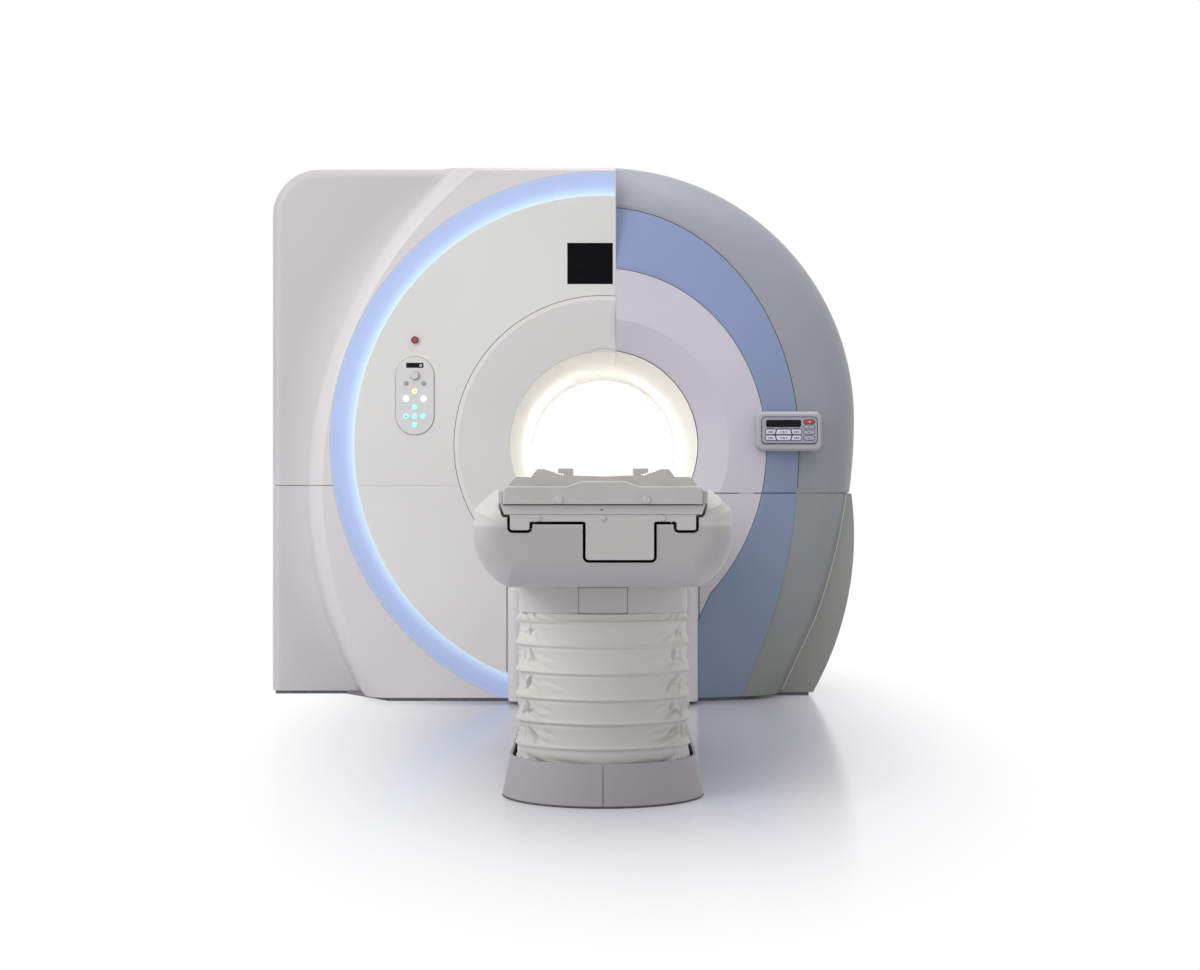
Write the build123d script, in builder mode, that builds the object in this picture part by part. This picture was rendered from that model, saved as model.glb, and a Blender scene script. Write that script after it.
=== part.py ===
"""Whole-body MRI scanner: a magnet under moulded covers, with a lifting patient couch docked in front.

Millimetres. X runs to the right seen from the couch, Y runs into the bore, Z is up.
The origin is on the floor, straight below the isocentre of the magnet.
"""

import os

from build123d import *

os.makedirs("parts", exist_ok=True)

# Clearances that every piece shares
FIT = 0.3  # gap between two pieces that seat on each other
SEAM = 0.8  # gap between two covers that meet edge to edge
SEAM_OPEN = 4.0  # visible joint line, closed behind by the lower cover's flange
SHEET = 8.0  # wall of a moulded cover
FLANGE = 4.0  # wall of the flange behind a joint line
FLANGE_REACH = 6 * SEAM_OPEN  # flange above and below its joint line
SHEET_SLANT = 1.5 * SHEET  # wall of the shoulder measured level, where it slopes most

# Magnet and bore
AXIS_H = 1074.0  # height of the bore axis
BASE_H = 14.0  # steel base plate under everything
COVER_LIFT = 1.0  # covers start this far above the base plate
BORE_R = 355.0  # inside of the bore liner
LINER_WALL = 6.0
BODY_COIL_WALL = 10.0
GRADIENT_WALL = 50.0
VESSEL_BORE_GAP = 8.0
FOOT_H = 135.0  # from the base plate up to the barrel of the cryostat
VESSEL_R = AXIS_H - BASE_H - FOOT_H
VESSEL_HALF = 620.0  # half the length of the cryostat
VESSEL_EDGE = 60.0  # rounding of the cryostat's end flanges
LINER_HALF = 400.0  # half the length of the straight liner
COIL_REACH = 0.4  # share of the lips' length that the gradient coil reaches past the liner
COLD_HEAD_R = 110.0
COLD_HEAD_H = 200.0
COLD_HEAD_Y = 200.0
COLD_HEAD_ROOM = 79.0  # from the cold head up to the top of the covers
FOOT_W = 260.0
FOOT_L = 220.0
FOOT_X = VESSEL_R - 365.0  # magnet feet from the middle
FOOT_Y = VESSEL_HALF - 190.0

# Cover set, overall
FACE_Y = -850.0  # front of the cover round the bore
WING_Y = FACE_Y + 250.0  # front of the flank, set back from the face
JOIN_Y = WING_Y + 250.0  # where the front cover of the left flank meets its side cover
BACK_Y = -FACE_Y
TOP_H = AXIS_H + VESSEL_R + COLD_HEAD_H + COLD_HEAD_ROOM
FLANK_X = AXIS_H - TOP_H - 233.0  # left flank
SPLIT_X = 54.0  # where the left and right cover sets meet
TOP_CORNER = 205.0
EDGE_ROUND = 42.0  # rounding of the flank's front edge
BROW_DROP = 50.0  # the top falls by this much towards the face
SWELL_X = 510.0  # middle of the circles along which the face falls back to the wing
SWELL_DROP = 174.0  # that middle is this far below the bore axis
SWELL_WIDTH = 178.0
SWELL_SINK = EDGE_ROUND + 6.0  # the fall ends behind the rounding, so that they meet at a slope
SWELL_SLOPE = 0.3
BROW_ROUND = 15.0

# Rings of the left cover set, radii about the bore axis
RING_OUT = TOP_H - AXIS_H - 63.0
RING_WIDTH = 100.0
RING_IN = RING_OUT - RING_WIDTH
DISC_IN = 622.0
DISC_SEAM = 2.5  # dark joint between the disc and the funnel
MOUTH_R = BORE_R + 38.0
MOUTH_DEPTH = 58.0  # how far the mouth lies behind the face
LIP_WALL = 6.0
LIP_FLARE = 0.35  # slope of the flared tube at the mouth
RIGHT_LIP_SEAM = 3.0  # dark joint between the right face and its lip
FRAME_IN = DISC_IN - 18.0  # flat frame behind the face
RIGHT_FRAME_OUT = FRAME_IN + 60.0
FRAME_WALL = 6.0
TRIM_WALL = 4.0  # plate that closes the left set towards the right one
LEFT_SEAM = AXIS_H - 171.0
BROW_R = 110.0  # hooded window of the positioning light, over the mouth of the bore
BROW_H = 17.0
BROW_DEPTH = 2.0

# Outlines of the right cover set. Each is an arch that stands inside the outermost one: narrower
# by, lower by, middle of its round top above the bore axis, and drawn in at the floor by.
SHELL_RISE = 117.0
SHELL_HALF = TOP_H - AXIS_H - SHELL_RISE
SHELL_OUT = (0.0, 0.0, SHELL_RISE, 307.0)
SHELL_MID = (87.0, 68.0, 74.0, 284.0)
BAND_OUT = (262.0, 203.0, -1.0, 237.0)
BAND_IN = (404.0, 466.0, -19.0, 295.0)
SHELL_MID_Y = WING_Y - 135.0
BAND_Y = WING_Y - 200.0
CHIN_KNEES = ((233.0, 620.0), (295.0, 754.0))  # the face narrows to a chin: in by, below the axis
RIM = 16.0  # flat rim of a cover round the one inside it
CREASE_R = 527.0  # where the right face starts to fall into the bore
RIGHT_MOUTH_R = MOUTH_R + 8.0
RIGHT_MOUTH_DEPTH = 50.0
RIGHT_SEAM = AXIS_H - 203.0
SIDE_TOP = 20.5  # lower right side cover: inside the arch's half width at its top, belly and foot
SIDE_BELLY = (19.0, 554.0)
SIDE_FOOT = 186.0
SIDE_FRONT_Y = WING_Y - 60.0

# Display and controls on the left face
DISPLAY_W = 190.0
DISPLAY_H = 172.0
DISPLAY_X = -54.0
DISPLAY_Z = AXIS_H + 757.0
DISPLAY_DEPTH = 20.0
PANEL_X = -786.0
PANEL_Z = AXIS_H + 204.0
PANEL_W = 159.0
PANEL_H = 326.0
PANEL_PROUD = 5.0
PANEL_SCREEN_W = 70.0
PANEL_SCREEN_H = 20.0
PANEL_SCREEN_Z = 127.0
SCREEN_DEPTH = 1.5
COLUMN_STEP = 36.5  # between the columns of buttons
KNOB_Z = 85.0
KNOB_R = 17.0
KNOB_H = 14.0
GREY_Z = 52.0
GREY_R = 8.8
AMBER_Z = 18.0
AMBER_R = 12.5
WHITE_Z = -13.0
WHITE_R = 13.0
TEAL_ROWS = (-49.0, -86.0, -122.0)
TEAL_R = 11.7
STOP_Z = 233.0  # emergency button, above the middle of the panel
STOP_R = 15.0
STOP_COLLAR_R = 20.0
COLLAR_PROUD = 2.0
STOP_TRAVEL = 4.0
STOP_H = 12.0
BUTTON_PROUD = 4.0
BUTTON_STEM = 8.0  # length of a button inside its hole
BUTTON_GAP = 0.4

# Keypad on the right cover set
KEYPAD_X = SHELL_HALF - 315.0
KEYPAD_Z = AXIS_H + 54.0
KEYPAD_W = 270.0
KEYPAD_H = 163.0
KEYPAD_FRONT_Y = FACE_Y - 55.0
KEYPAD_BACK_Y = FACE_Y + 85.0
KEYPAD_CORNER = 28.0
BEZEL_W = 230.0
BEZEL_H = 113.0
BEZEL_DEPTH = 4.0
BEZEL_CORNER = 14.0
KEY_PROUD = 2.5
KEY_W = 48.0
KEY_H = 18.0
KEY_STEP_X = 52.0
KEY_STEP_Z = 27.5
KEY_BLOCK_X = -23.0  # middle of the six white keys, from the middle of the keypad
KEY_BLOCK_Z = -28.0
OVAL_X = 85.0
OVAL_Z = -23.0
OVAL_W = 42.0
OVAL_H = 13.0
OVAL_STEP_Z = 21.0
RED_KEY_Z = 27.0
RED_KEY_H = 17.0

# Docking housing on the gantry
DOCK_HALF = 392.0
DOCK_H = AXIS_H - 388.0
DOCK_DEPTH = 120.0
DOCK_CORNER = 45.0

# Couch: shell, neck, bellows and plinth, with heights from the underside of the tabletop
TABLE_BOTTOM = AXIS_H - 221.0
TABLE_FRONT = FACE_Y - 2440.0
TABLE_REAR = FACE_Y - 150.0
TUB_FRONT = TABLE_FRONT - 10.0
TUB_REAR = TABLE_REAR - 10.0
TUB_HALF = 355.0
TUB_BOTTOM = TABLE_BOTTOM - 230.0
TUB_TOP = TABLE_BOTTOM + 37.0
TUB_KNEE = (TUB_HALF - 31.0, TABLE_BOTTOM - 181.0)
TUB_KEEL_HALF = TUB_HALF - 93.0
TUB_SIDE = (TABLE_BOTTOM - 47.0, TABLE_BOTTOM - 17.0)  # the upright part of the side, from and to
TUB_RIM_HALF = TUB_HALF - 53.0
NOSE_LENGTH = 130.0  # the front falls from the rim to the top of its face over this length
NOSE_ROUND = 85.0
TAIL_CORNER = 40.0
SADDLE_LENGTH = 100.0  # closed end of the channel, where the tabletop glides
TRACK_GAP = 8.0  # dark gap between the carriage and the shell
NECK_HALF = 243.0
NECK_BOTTOM = TABLE_BOTTOM - 313.0
NECK_FRONT = TUB_FRONT + 188.0
NECK_REAR = NECK_FRONT + 992.0
NECK_CORNER = 48.0
BOW = 100.0  # how far the middle of the front stands before its corners
NECK_WALL = 8.0
HATCH_HALF = 71.0
HATCH_H = 76.0
HATCH_PROUD = 1.0
HATCH_SEAM = 2.2
BELLOWS_HALF = NECK_HALF - 3.0
RIB_PROUD = 15.0
RIB_HALF_H = 7.0
BELLOWS_WALL = 6.0
RIB_SHARES = (0.252, 0.388, 0.525, 0.663, 0.820, 0.963)  # heights of the ribs along the bellows
PINCH = 6.0  # how far the cloth draws in between two ribs
PLINTH_HALF = BELLOWS_HALF + 55.0
PLINTH_TOP_HALF = PLINTH_HALF - 23.0
PLINTH_FRONT = NECK_FRONT - 49.0
PLINTH_REAR = NECK_REAR + 60.0
PLINTH_NOSE = 230.0
PLINTH_H = 120.0
PLINTH_WALL = 7.0
PLINTH_BATTER = 23.0  # the front leans back by this much
PLINTH_SEAM = 2.0  # upright joint in the middle of the plinth's front

# Lifting column inside the bellows
COLUMN_Y = NECK_FRONT + 512.0
COLUMN_W = 300.0
COLUMN_L = 400.0
COLUMN_WALL = 11.0
COLUMN_RUN = 0.5  # running gap between two stages
FLOOR_PLATE = 12.0
OUTER_TOP = TUB_BOTTOM - 343.0
MID_BOTTOM = OUTER_TOP - 58.0
MID_TOP = TUB_BOTTOM - 143.0
INNER_BOTTOM = MID_TOP - 60.0
BEAM_HALF = 110.0
COLUMN_CLEAR = 20.0  # room round the outer stage in the couch shell

# Table: sliding top, its foot cap and the carriage below
TABLE_HALF = 256.0
TABLE_EDGE_Z = TABLE_BOTTOM + 53.0
TABLE_STEP = (TABLE_HALF - 20.0, TABLE_BOTTOM + 74.0)
TABLE_RIDGE = (TABLE_HALF - 78.0, TABLE_BOTTOM + 95.0)
TABLE_DISH = (TABLE_HALF - 144.0, TABLE_BOTTOM + 79.0)
TABLE_MIDDLE_Z = TABLE_BOTTOM + 75.0
CAP_FRONT = TABLE_FRONT - 27.0
CAP_HALF = TABLE_HALF + 14.0
CAP_TOP = TABLE_BOTTOM + 49.0
CAP_HUMP = TABLE_BOTTOM + 63.0
HUMP_HALF = 60.0
HUMP_SLOPE = 97.0
CAP_CORNER = 15.0
CAP_ROUND = 5.0
SLEDGE_TOP_HALF = TABLE_HALF + 22.0
SLEDGE_BOTTOM_HALF = SLEDGE_TOP_HALF - 10.0
SLEDGE_H = 28.0  # upper layer of the carriage
SLEDGE_ROUND = 3.0
SHOE_ROUND = 6.0
KEEL_ROUND = 8.0
CARRIAGE_FRONT = TABLE_FRONT - 16.0
JOINT_LINE = 1.5  # groove between the carriage's upper layer and its body
SHOE_OUT = TABLE_HALF - 4.0
SHOE_IN = SHOE_OUT - 52.5
SHOE_BOTTOM = TABLE_BOTTOM - 70.0
SLEDGE_BELLY = TABLE_BOTTOM - 47.0
KEEL_LEFT = -47.0
KEEL_RIGHT = 138.0
KEEL_BOTTOM = TABLE_BOTTOM - 151.0
CARRIAGE_LENGTH = 290.0
PORT_X = -3.0  # small hole in the front of the carriage
PORT_Z = TABLE_BOTTOM - 15.0
PORT_R = 3.0
CAP_SCREW_X = 118.0
CAP_SCREW_Z = TABLE_BOTTOM + 12.0
CAP_SCREW_R = 11.0
SLEDGE_SCREW_X = (-175.0, 0.0, 162.0)
SLEDGE_SCREW_Z = TABLE_BOTTOM - 38.0
SLEDGE_SCREW_R = 8.5
SCREW_PROUD = 3.5
SCREW_ROUND = 2.8
SOCKET_X = TABLE_HALF - 105.0
SOCKET_WIDTH = 60.0
SOCKET_LENGTH = 60.0
SOCKET_TOP = TABLE_BOTTOM + 118.0
SOCKET_Y = TABLE_REAR - 90.0
RIDGE_WIDTH = 18.0
HEAD_CORNER = 70.0
BRIDGE_HALF = 150.0

# Worked out from the sizes above
COVER_BOTTOM = BASE_H + COVER_LIFT
AXIS = Axis((0, 0, AXIS_H), (0, 1, 0))
FAR = TOP_H + VESSEL_R  # beyond every cover
SWELL_H = AXIS_H - SWELL_DROP
SWELL_R = RING_OUT + (SWELL_X**2 + SWELL_DROP**2) ** 0.5 + 2 * SEAM  # clears the ring all round


def front(y):
    """Plane that faces the couch at depth y, with X to the right and Z up."""
    return Plane.XZ.offset(-y)


def save(part, name):
    part.label = name
    export_step(part, f"parts/{name}.step")


def keep_box(low, high):
    """Solid block between two corners."""
    size = [b - a for a, b in zip(low, high)]
    middle = [(a + b) / 2 for a, b in zip(low, high)]
    with BuildPart(Plane(middle)) as block:
        Box(*size)
    return block.part


def drum(radius, y_from, y_to):
    """Round body about the bore axis between two depths."""
    with BuildPart() as body:
        with BuildSketch(front(y_to).shift_origin((0, y_to, AXIS_H))):
            Circle(radius)
        extrude(amount=y_to - y_from)
    return body.part


def ring(outer, inner, y_from, y_to):
    """Ring about the bore axis between two depths."""
    with BuildPart() as hoop:
        add(drum(outer, y_from, y_to))
        add(drum(inner, y_from, y_to), mode=Mode.SUBTRACT)
    return hoop.part


def spun(points):
    """Body turned about the bore axis from (depth, radius) corners."""
    with BuildPart() as body:
        with BuildSketch(Plane.YZ):
            with BuildLine():
                Polyline(*[(y, AXIS_H + r) for y, r in points], close=True)
            make_face()
        revolve(axis=AXIS)
    return body.part


def arch(size):
    """Half width, top radius, height of its middle, and half width at the floor, of an arch."""
    narrower, lower, rise, tuck = size
    half = SHELL_HALF - narrower
    middle = AXIS_H + rise
    return half, TOP_H - lower - middle, middle, half - tuck


# Steel base plate, which carries the magnet and the covers

with BuildPart() as base_plate:
    with BuildSketch():
        with BuildLine():
            swell_x = SWELL_X - (SWELL_R**2 - SWELL_H**2) ** 0.5
            wing_x = SWELL_X - ((SWELL_R + SWELL_WIDTH) ** 2 - SWELL_H**2) ** 0.5
            inset = 2 * SHEET
            Polyline(
                (SPLIT_X, FACE_Y + inset),
                (swell_x + inset, FACE_Y + inset),
                (wing_x, WING_Y + inset),
                (FLANK_X + inset, WING_Y + inset),
                (FLANK_X + inset, -WING_Y - inset),
                (wing_x, -WING_Y - inset),
                (swell_x + inset, BACK_Y - inset),
                (arch(BAND_IN)[3] - inset, BACK_Y - inset),
                (arch(BAND_OUT)[3] - 2 * inset, -BAND_Y - inset),
                (arch(SHELL_OUT)[3] - inset, -WING_Y - inset),
                (SHELL_HALF - SIDE_FOOT - inset, -WING_Y - inset),
                (SHELL_HALF - SIDE_FOOT - inset, SIDE_FRONT_Y + inset),
                (arch(SHELL_MID)[3] - inset, SIDE_FRONT_Y + inset),
                (arch(BAND_OUT)[3] - inset, BAND_Y + inset),
                (arch(BAND_IN)[3], FACE_Y + inset),
                close=True,
            )
        make_face()
    extrude(amount=BASE_H)
save(base_plate.part, "base_plate")

# Cryostat of the magnet on its four feet

gradient_out = BORE_R + LINER_WALL + BODY_COIL_WALL + GRADIENT_WALL + 2 * FIT
with BuildPart() as magnet_vessel:
    with BuildSketch(front(VESSEL_HALF).shift_origin((0, VESSEL_HALF, AXIS_H))):
        Circle(VESSEL_R)
    extrude(amount=2 * VESSEL_HALF)
    fillet(magnet_vessel.edges().filter_by(GeomType.CIRCLE), VESSEL_EDGE)
    with BuildSketch(Plane.XY.offset(BASE_H)):
        with GridLocations(2 * FOOT_X, 2 * FOOT_Y, 2, 2):
            Rectangle(FOOT_W, FOOT_L)
    extrude(until=Until.NEXT)
    with BuildSketch(front(VESSEL_HALF).shift_origin((0, VESSEL_HALF, AXIS_H))):
        Circle(gradient_out + VESSEL_BORE_GAP)
    extrude(amount=2 * VESSEL_HALF, mode=Mode.SUBTRACT)
save(magnet_vessel.part, "magnet_vessel")

with BuildPart() as cold_head:
    with BuildSketch(Plane((0, COLD_HEAD_Y, AXIS_H + VESSEL_R + FIT))):
        Circle(COLD_HEAD_R)
    extrude(amount=COLD_HEAD_H)
    chamfer(cold_head.faces().sort_by(Axis.Z)[-1].edges(), COLD_HEAD_R / 5)
save(cold_head.part, "cold_head")

# Gradient coil, body coil and liner, one inside the next

gradient_in = gradient_out - GRADIENT_WALL
coil_half = LINER_HALF + COIL_REACH * (-FACE_Y - MOUTH_DEPTH - LINER_HALF)
save(ring(gradient_out, gradient_in, -coil_half, coil_half), "gradient_coil")
body_coil_half = LINER_HALF - SHEET
save(
    ring(gradient_in - FIT, BORE_R + LINER_WALL + FIT, -body_coil_half, body_coil_half),
    "rf_body_coil",
)
save(ring(BORE_R + LINER_WALL, BORE_R, -LINER_HALF, LINER_HALF), "bore_liner")

# Table bed in the bore, seated on the liner

with BuildPart() as bore_bridge:
    with BuildSketch(front(BACK_Y - 2 * SHEET)):
        with Locations((0, AXIS_H)):
            Circle(BORE_R - FIT)
        with Locations((0, TABLE_BOTTOM - FIT)):
            Rectangle(2 * BRIDGE_HALF, 2 * BORE_R, align=(Align.CENTER, Align.MAX), mode=Mode.INTERSECT)
    extrude(amount=BACK_Y - FACE_Y - 4 * SHEET)
save(bore_bridge.part, "bore_bridge")


# Left cover set: one outline for the flank, one turned profile for the face


def left_outline(inset, y):
    """Outline of the left covers at a depth, drawn in by inset at the top and the flank."""
    top = TOP_H - inset
    left = FLANK_X + inset
    with BuildSketch(front(y)) as outline:
        with BuildLine():
            FilletPolyline(
                (SPLIT_X, COVER_BOTTOM),
                (left, COVER_BOTTOM),
                (left, top),
                (SPLIT_X, top),
                close=True,
                radius=(0, 0, TOP_CORNER - inset, 0),
            )
        make_face()
    return outline.sketch


def left_block(inset, y_back):
    """Everything behind the left covers' surface from the face to y_back, drawn in by inset."""
    face_y = FACE_Y + inset
    wing_y = WING_Y + inset
    with BuildPart() as wing:
        extrude(left_outline(inset, y_back), amount=y_back - wing_y)
        rim = wing.faces().sort_by(Axis.Y)[0].edges()
        rim = rim.filter_by(lambda edge: edge.center().Z > COVER_BOTTOM + inset + SEAM)
        fillet(rim.sort_by(Axis.X)[:-1], EDGE_ROUND - inset)
    with BuildPart() as swell:
        with BuildSketch(Plane.YZ.offset(SWELL_X)):
            with BuildLine():
                fall = Spline(
                    (face_y, SWELL_H + SWELL_R - inset / 2),
                    (wing_y + SWELL_SINK, SWELL_H + SWELL_R + SWELL_WIDTH - inset / 2),
                    tangents=((SWELL_SLOPE, 1), (SWELL_SLOPE, 1)),
                )
                Polyline(
                    fall @ 1,
                    (y_back, (fall @ 1).Y),
                    (y_back, SWELL_H),
                    (face_y, SWELL_H),
                    fall @ 0,
                )
            make_face()
        revolve(axis=Axis((SWELL_X, 0, SWELL_H), (0, 1, 0)))
        extrude(left_outline(inset, y_back), amount=y_back - face_y, mode=Mode.INTERSECT)
        with BuildSketch(Plane.YZ.offset(FLANK_X)):
            with BuildLine():
                FilletPolyline(
                    (face_y, COVER_BOTTOM),
                    (face_y, TOP_H - BROW_DROP - inset),
                    (wing_y, TOP_H - inset),
                    (y_back, TOP_H - inset),
                    (y_back, COVER_BOTTOM),
                    close=True,
                    radius=(0, BROW_ROUND, 0, 0, 0),
                )
            make_face()
        extrude(amount=SPLIT_X - FLANK_X, mode=Mode.INTERSECT)
    with BuildPart() as block:
        add(wing.part)
        add(swell.part)
    return block.part


left_edge = SPLIT_X - TRIM_WALL - FIT
left_half = keep_box((-FAR, -FAR, COVER_BOTTOM), (left_edge, FAR, 2 * FAR))
left_above = keep_box((-FAR, -FAR, LEFT_SEAM + SEAM_OPEN / 2), (left_edge, FAR, 2 * FAR))
left_below = keep_box((-FAR, -FAR, COVER_BOTTOM), (left_edge, FAR, LEFT_SEAM - SEAM_OPEN / 2))
flange_zone = keep_box(
    (-FAR, -FAR, LEFT_SEAM - FLANGE_REACH), (left_edge, FAR, LEFT_SEAM + FLANGE_REACH)
)

with BuildPart() as left_shell:
    add(left_block(0, JOIN_Y))
    add(left_block(SHEET, JOIN_Y), mode=Mode.SUBTRACT)
with BuildPart() as left_flange:
    add(left_block(SHEET, JOIN_Y))
    add(left_block(SHEET + FLANGE, JOIN_Y), mode=Mode.SUBTRACT)
    add(flange_zone, mode=Mode.INTERSECT)
ring_hole = drum(RING_OUT + SEAM, FACE_Y - SHEET, FACE_Y + 3 * SHEET)

with BuildPart() as left_cover_upper:
    add(left_shell.part)
    add(left_above, mode=Mode.INTERSECT)
    add(ring_hole, mode=Mode.SUBTRACT)
save(left_cover_upper.part, "left_cover_upper")

with BuildPart() as left_cover_lower:
    add(left_shell.part)
    add(left_below, mode=Mode.INTERSECT)
    add(left_flange.part)
    add(ring_hole, mode=Mode.SUBTRACT)
save(left_cover_lower.part, "left_cover_lower")

with BuildPart() as side_cover_left:
    extrude(left_outline(0, 0), amount=-JOIN_Y - SEAM, both=True)
    extrude(left_outline(SHEET, 0), amount=-JOIN_Y - SEAM, both=True, mode=Mode.SUBTRACT)
    add(left_half, mode=Mode.INTERSECT)
save(side_cover_left.part, "side_cover_left")

# Light ring, face and funnel of the left set, carried by a flat frame and closed by a middle rib

face_back = FACE_Y + SHEET

with BuildPart() as light_ring:
    add(ring(RING_OUT, RING_IN, FACE_Y, face_back))
    add(left_half, mode=Mode.INTERSECT)
save(light_ring.part, "light_ring")

frame_front = face_back + FIT
with BuildPart() as display_window:
    with BuildSketch(front(FACE_Y + DISPLAY_DEPTH)):
        with Locations((DISPLAY_X, DISPLAY_Z)):
            Rectangle(DISPLAY_W + 2 * FIT, DISPLAY_H + 2 * FIT)
    extrude(amount=2 * DISPLAY_DEPTH)

with BuildPart() as front_frame:
    add(ring(RING_OUT - FLANGE, FRAME_IN, frame_front, frame_front + FRAME_WALL))
    add(left_half, mode=Mode.INTERSECT)
    add(ring(RIGHT_FRAME_OUT, FRAME_IN, frame_front, frame_front + FRAME_WALL))
    add(keep_box((left_edge, -FAR, BASE_H), (SPLIT_X + FIT, FAR, 2 * FAR)), mode=Mode.SUBTRACT)
    add(keep_box((-FAR, -FAR, BASE_H + FIT), (FAR, FAR, 2 * FAR)), mode=Mode.INTERSECT)
    add(display_window.part, mode=Mode.SUBTRACT)
save(front_frame.part, "front_frame")

rib_back = -VESSEL_HALF - 2 * SHEET
with BuildPart() as middle_rib:
    with BuildSketch(Plane.YZ.offset(SPLIT_X - TRIM_WALL)):
        with BuildLine():
            FilletPolyline(
                (FACE_Y, BASE_H + FIT),
                (FACE_Y, TOP_H - BROW_DROP),
                (rib_back, TOP_H - BROW_DROP * (WING_Y - rib_back) / (WING_Y - FACE_Y)),
                (rib_back, BASE_H + FIT),
                close=True,
                radius=(0, BROW_ROUND, 0, 0),
            )
        make_face()
    extrude(amount=TRIM_WALL)
    add(drum(DISC_IN, FACE_Y - SHEET, -VESSEL_HALF + SHEET), mode=Mode.SUBTRACT)
save(middle_rib.part, "middle_rib")

with BuildPart() as controls_hole:
    with BuildSketch(front(face_back)):
        with Locations((PANEL_X, PANEL_Z)):
            RectangleRounded(PANEL_W + 2 * FIT, PANEL_H + 2 * FIT, PANEL_W / 2 - FIT)
        with Locations((PANEL_X, PANEL_Z + STOP_Z)):
            Circle(STOP_R + BUTTON_GAP)
    extrude(amount=3 * SHEET)

with BuildPart() as disc:
    add(ring(RING_IN - SEAM, DISC_IN + DISC_SEAM, FACE_Y, face_back))
    with BuildSketch(front(FACE_Y)):
        with Locations((PANEL_X, PANEL_Z + STOP_Z)):
            Circle(STOP_COLLAR_R)
    extrude(amount=COLLAR_PROUD)
    add(controls_hole.part, mode=Mode.SUBTRACT)
    add(display_window.part, mode=Mode.SUBTRACT)
disc_zones = {
    "front_disc_upper": keep_box((-FAR, -FAR, LEFT_SEAM + SEAM / 2), (left_edge, FAR, 2 * FAR)),
    "front_disc_lower": keep_box((-FAR, -FAR, COVER_BOTTOM), (left_edge, FAR, LEFT_SEAM - SEAM / 2)),
}
for name, zone in disc_zones.items():
    with BuildPart() as half_disc:
        add(disc.part)
        add(zone, mode=Mode.INTERSECT)
    save(half_disc.part, name)

mouth_y = FACE_Y + MOUTH_DEPTH
left_of_split = keep_box((-FAR, -FAR, 0), (SPLIT_X - SEAM / 2, FAR, 2 * FAR))
right_of_split = keep_box((SPLIT_X + SEAM / 2, -FAR, 0), (FAR, FAR, 2 * FAR))
liner_mouth = -LINER_HALF - FIT

with BuildPart() as funnel_left:
    add(
        spun(
            [
                (FACE_Y, DISC_IN),
                (FACE_Y, FRAME_IN),
                (mouth_y, MOUTH_R),
                (mouth_y + SHEET, MOUTH_R),
                (face_back, FRAME_IN - FIT),
                (face_back, DISC_IN),
            ]
        )
    )
    add(left_of_split, mode=Mode.INTERSECT)
    with BuildSketch(front(mouth_y + BROW_DEPTH)):
        with Locations((0, AXIS_H + MOUTH_R + BROW_H - BROW_R)):
            Circle(BROW_R)
    extrude(amount=MOUTH_DEPTH, mode=Mode.SUBTRACT)
save(funnel_left.part, "funnel_left")


def lip(front_y, mouth_r, seam):
    """Flared tube from the mouth of the bore, with a seam round it, to the straight liner."""
    with BuildPart() as tube:
        with BuildSketch(Plane.YZ):
            with BuildLine():
                flare = Spline(
                    (front_y, AXIS_H + mouth_r - seam),
                    (liner_mouth, AXIS_H + BORE_R),
                    tangents=((1, -LIP_FLARE), (1, 0)),
                )
                back = Spline(
                    (liner_mouth, AXIS_H + BORE_R + LIP_WALL),
                    (front_y + SHEET + FIT, AXIS_H + mouth_r - seam),
                    tangents=((-1, 0), (-1, LIP_FLARE)),
                )
                Line(flare @ 1, back @ 0)
                Line(back @ 1, flare @ 0)
            make_face()
        revolve(axis=AXIS)
    return tube.part


with BuildPart() as bore_lip_left:
    add(lip(mouth_y, MOUTH_R, SEAM))
    add(left_of_split, mode=Mode.INTERSECT)
save(bore_lip_left.part, "bore_lip_left")

with BuildPart() as status_display:
    with BuildSketch(front(FACE_Y + DISPLAY_DEPTH)):
        with Locations((DISPLAY_X, DISPLAY_Z)):
            Rectangle(DISPLAY_W, DISPLAY_H)
    extrude(amount=DISPLAY_DEPTH - SCREEN_DEPTH)
    chamfer(status_display.faces().sort_by(Axis.Y)[0].edges(), SCREEN_DEPTH)
save(status_display.part, "status_display")

# Control panel on the left face, with its knob, buttons and the emergency button above

buttons = [
    ("grey_button_left", -COLUMN_STEP, GREY_Z, GREY_R),
    ("grey_button_right", COLUMN_STEP, GREY_Z, GREY_R),
    ("amber_button", 0.0, AMBER_Z, AMBER_R),
    ("white_button_left", -COLUMN_STEP, WHITE_Z, WHITE_R),
    ("white_button_right", COLUMN_STEP, WHITE_Z, WHITE_R),
    ("teal_button_top", 0.0, TEAL_ROWS[0], TEAL_R),
    ("teal_button_left", -COLUMN_STEP, TEAL_ROWS[1], TEAL_R),
    ("teal_button_middle", 0.0, TEAL_ROWS[1], TEAL_R),
    ("teal_button_right", COLUMN_STEP, TEAL_ROWS[1], TEAL_R),
    ("teal_button_bottom", 0.0, TEAL_ROWS[2], TEAL_R),
]
panel_front = FACE_Y - PANEL_PROUD

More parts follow.
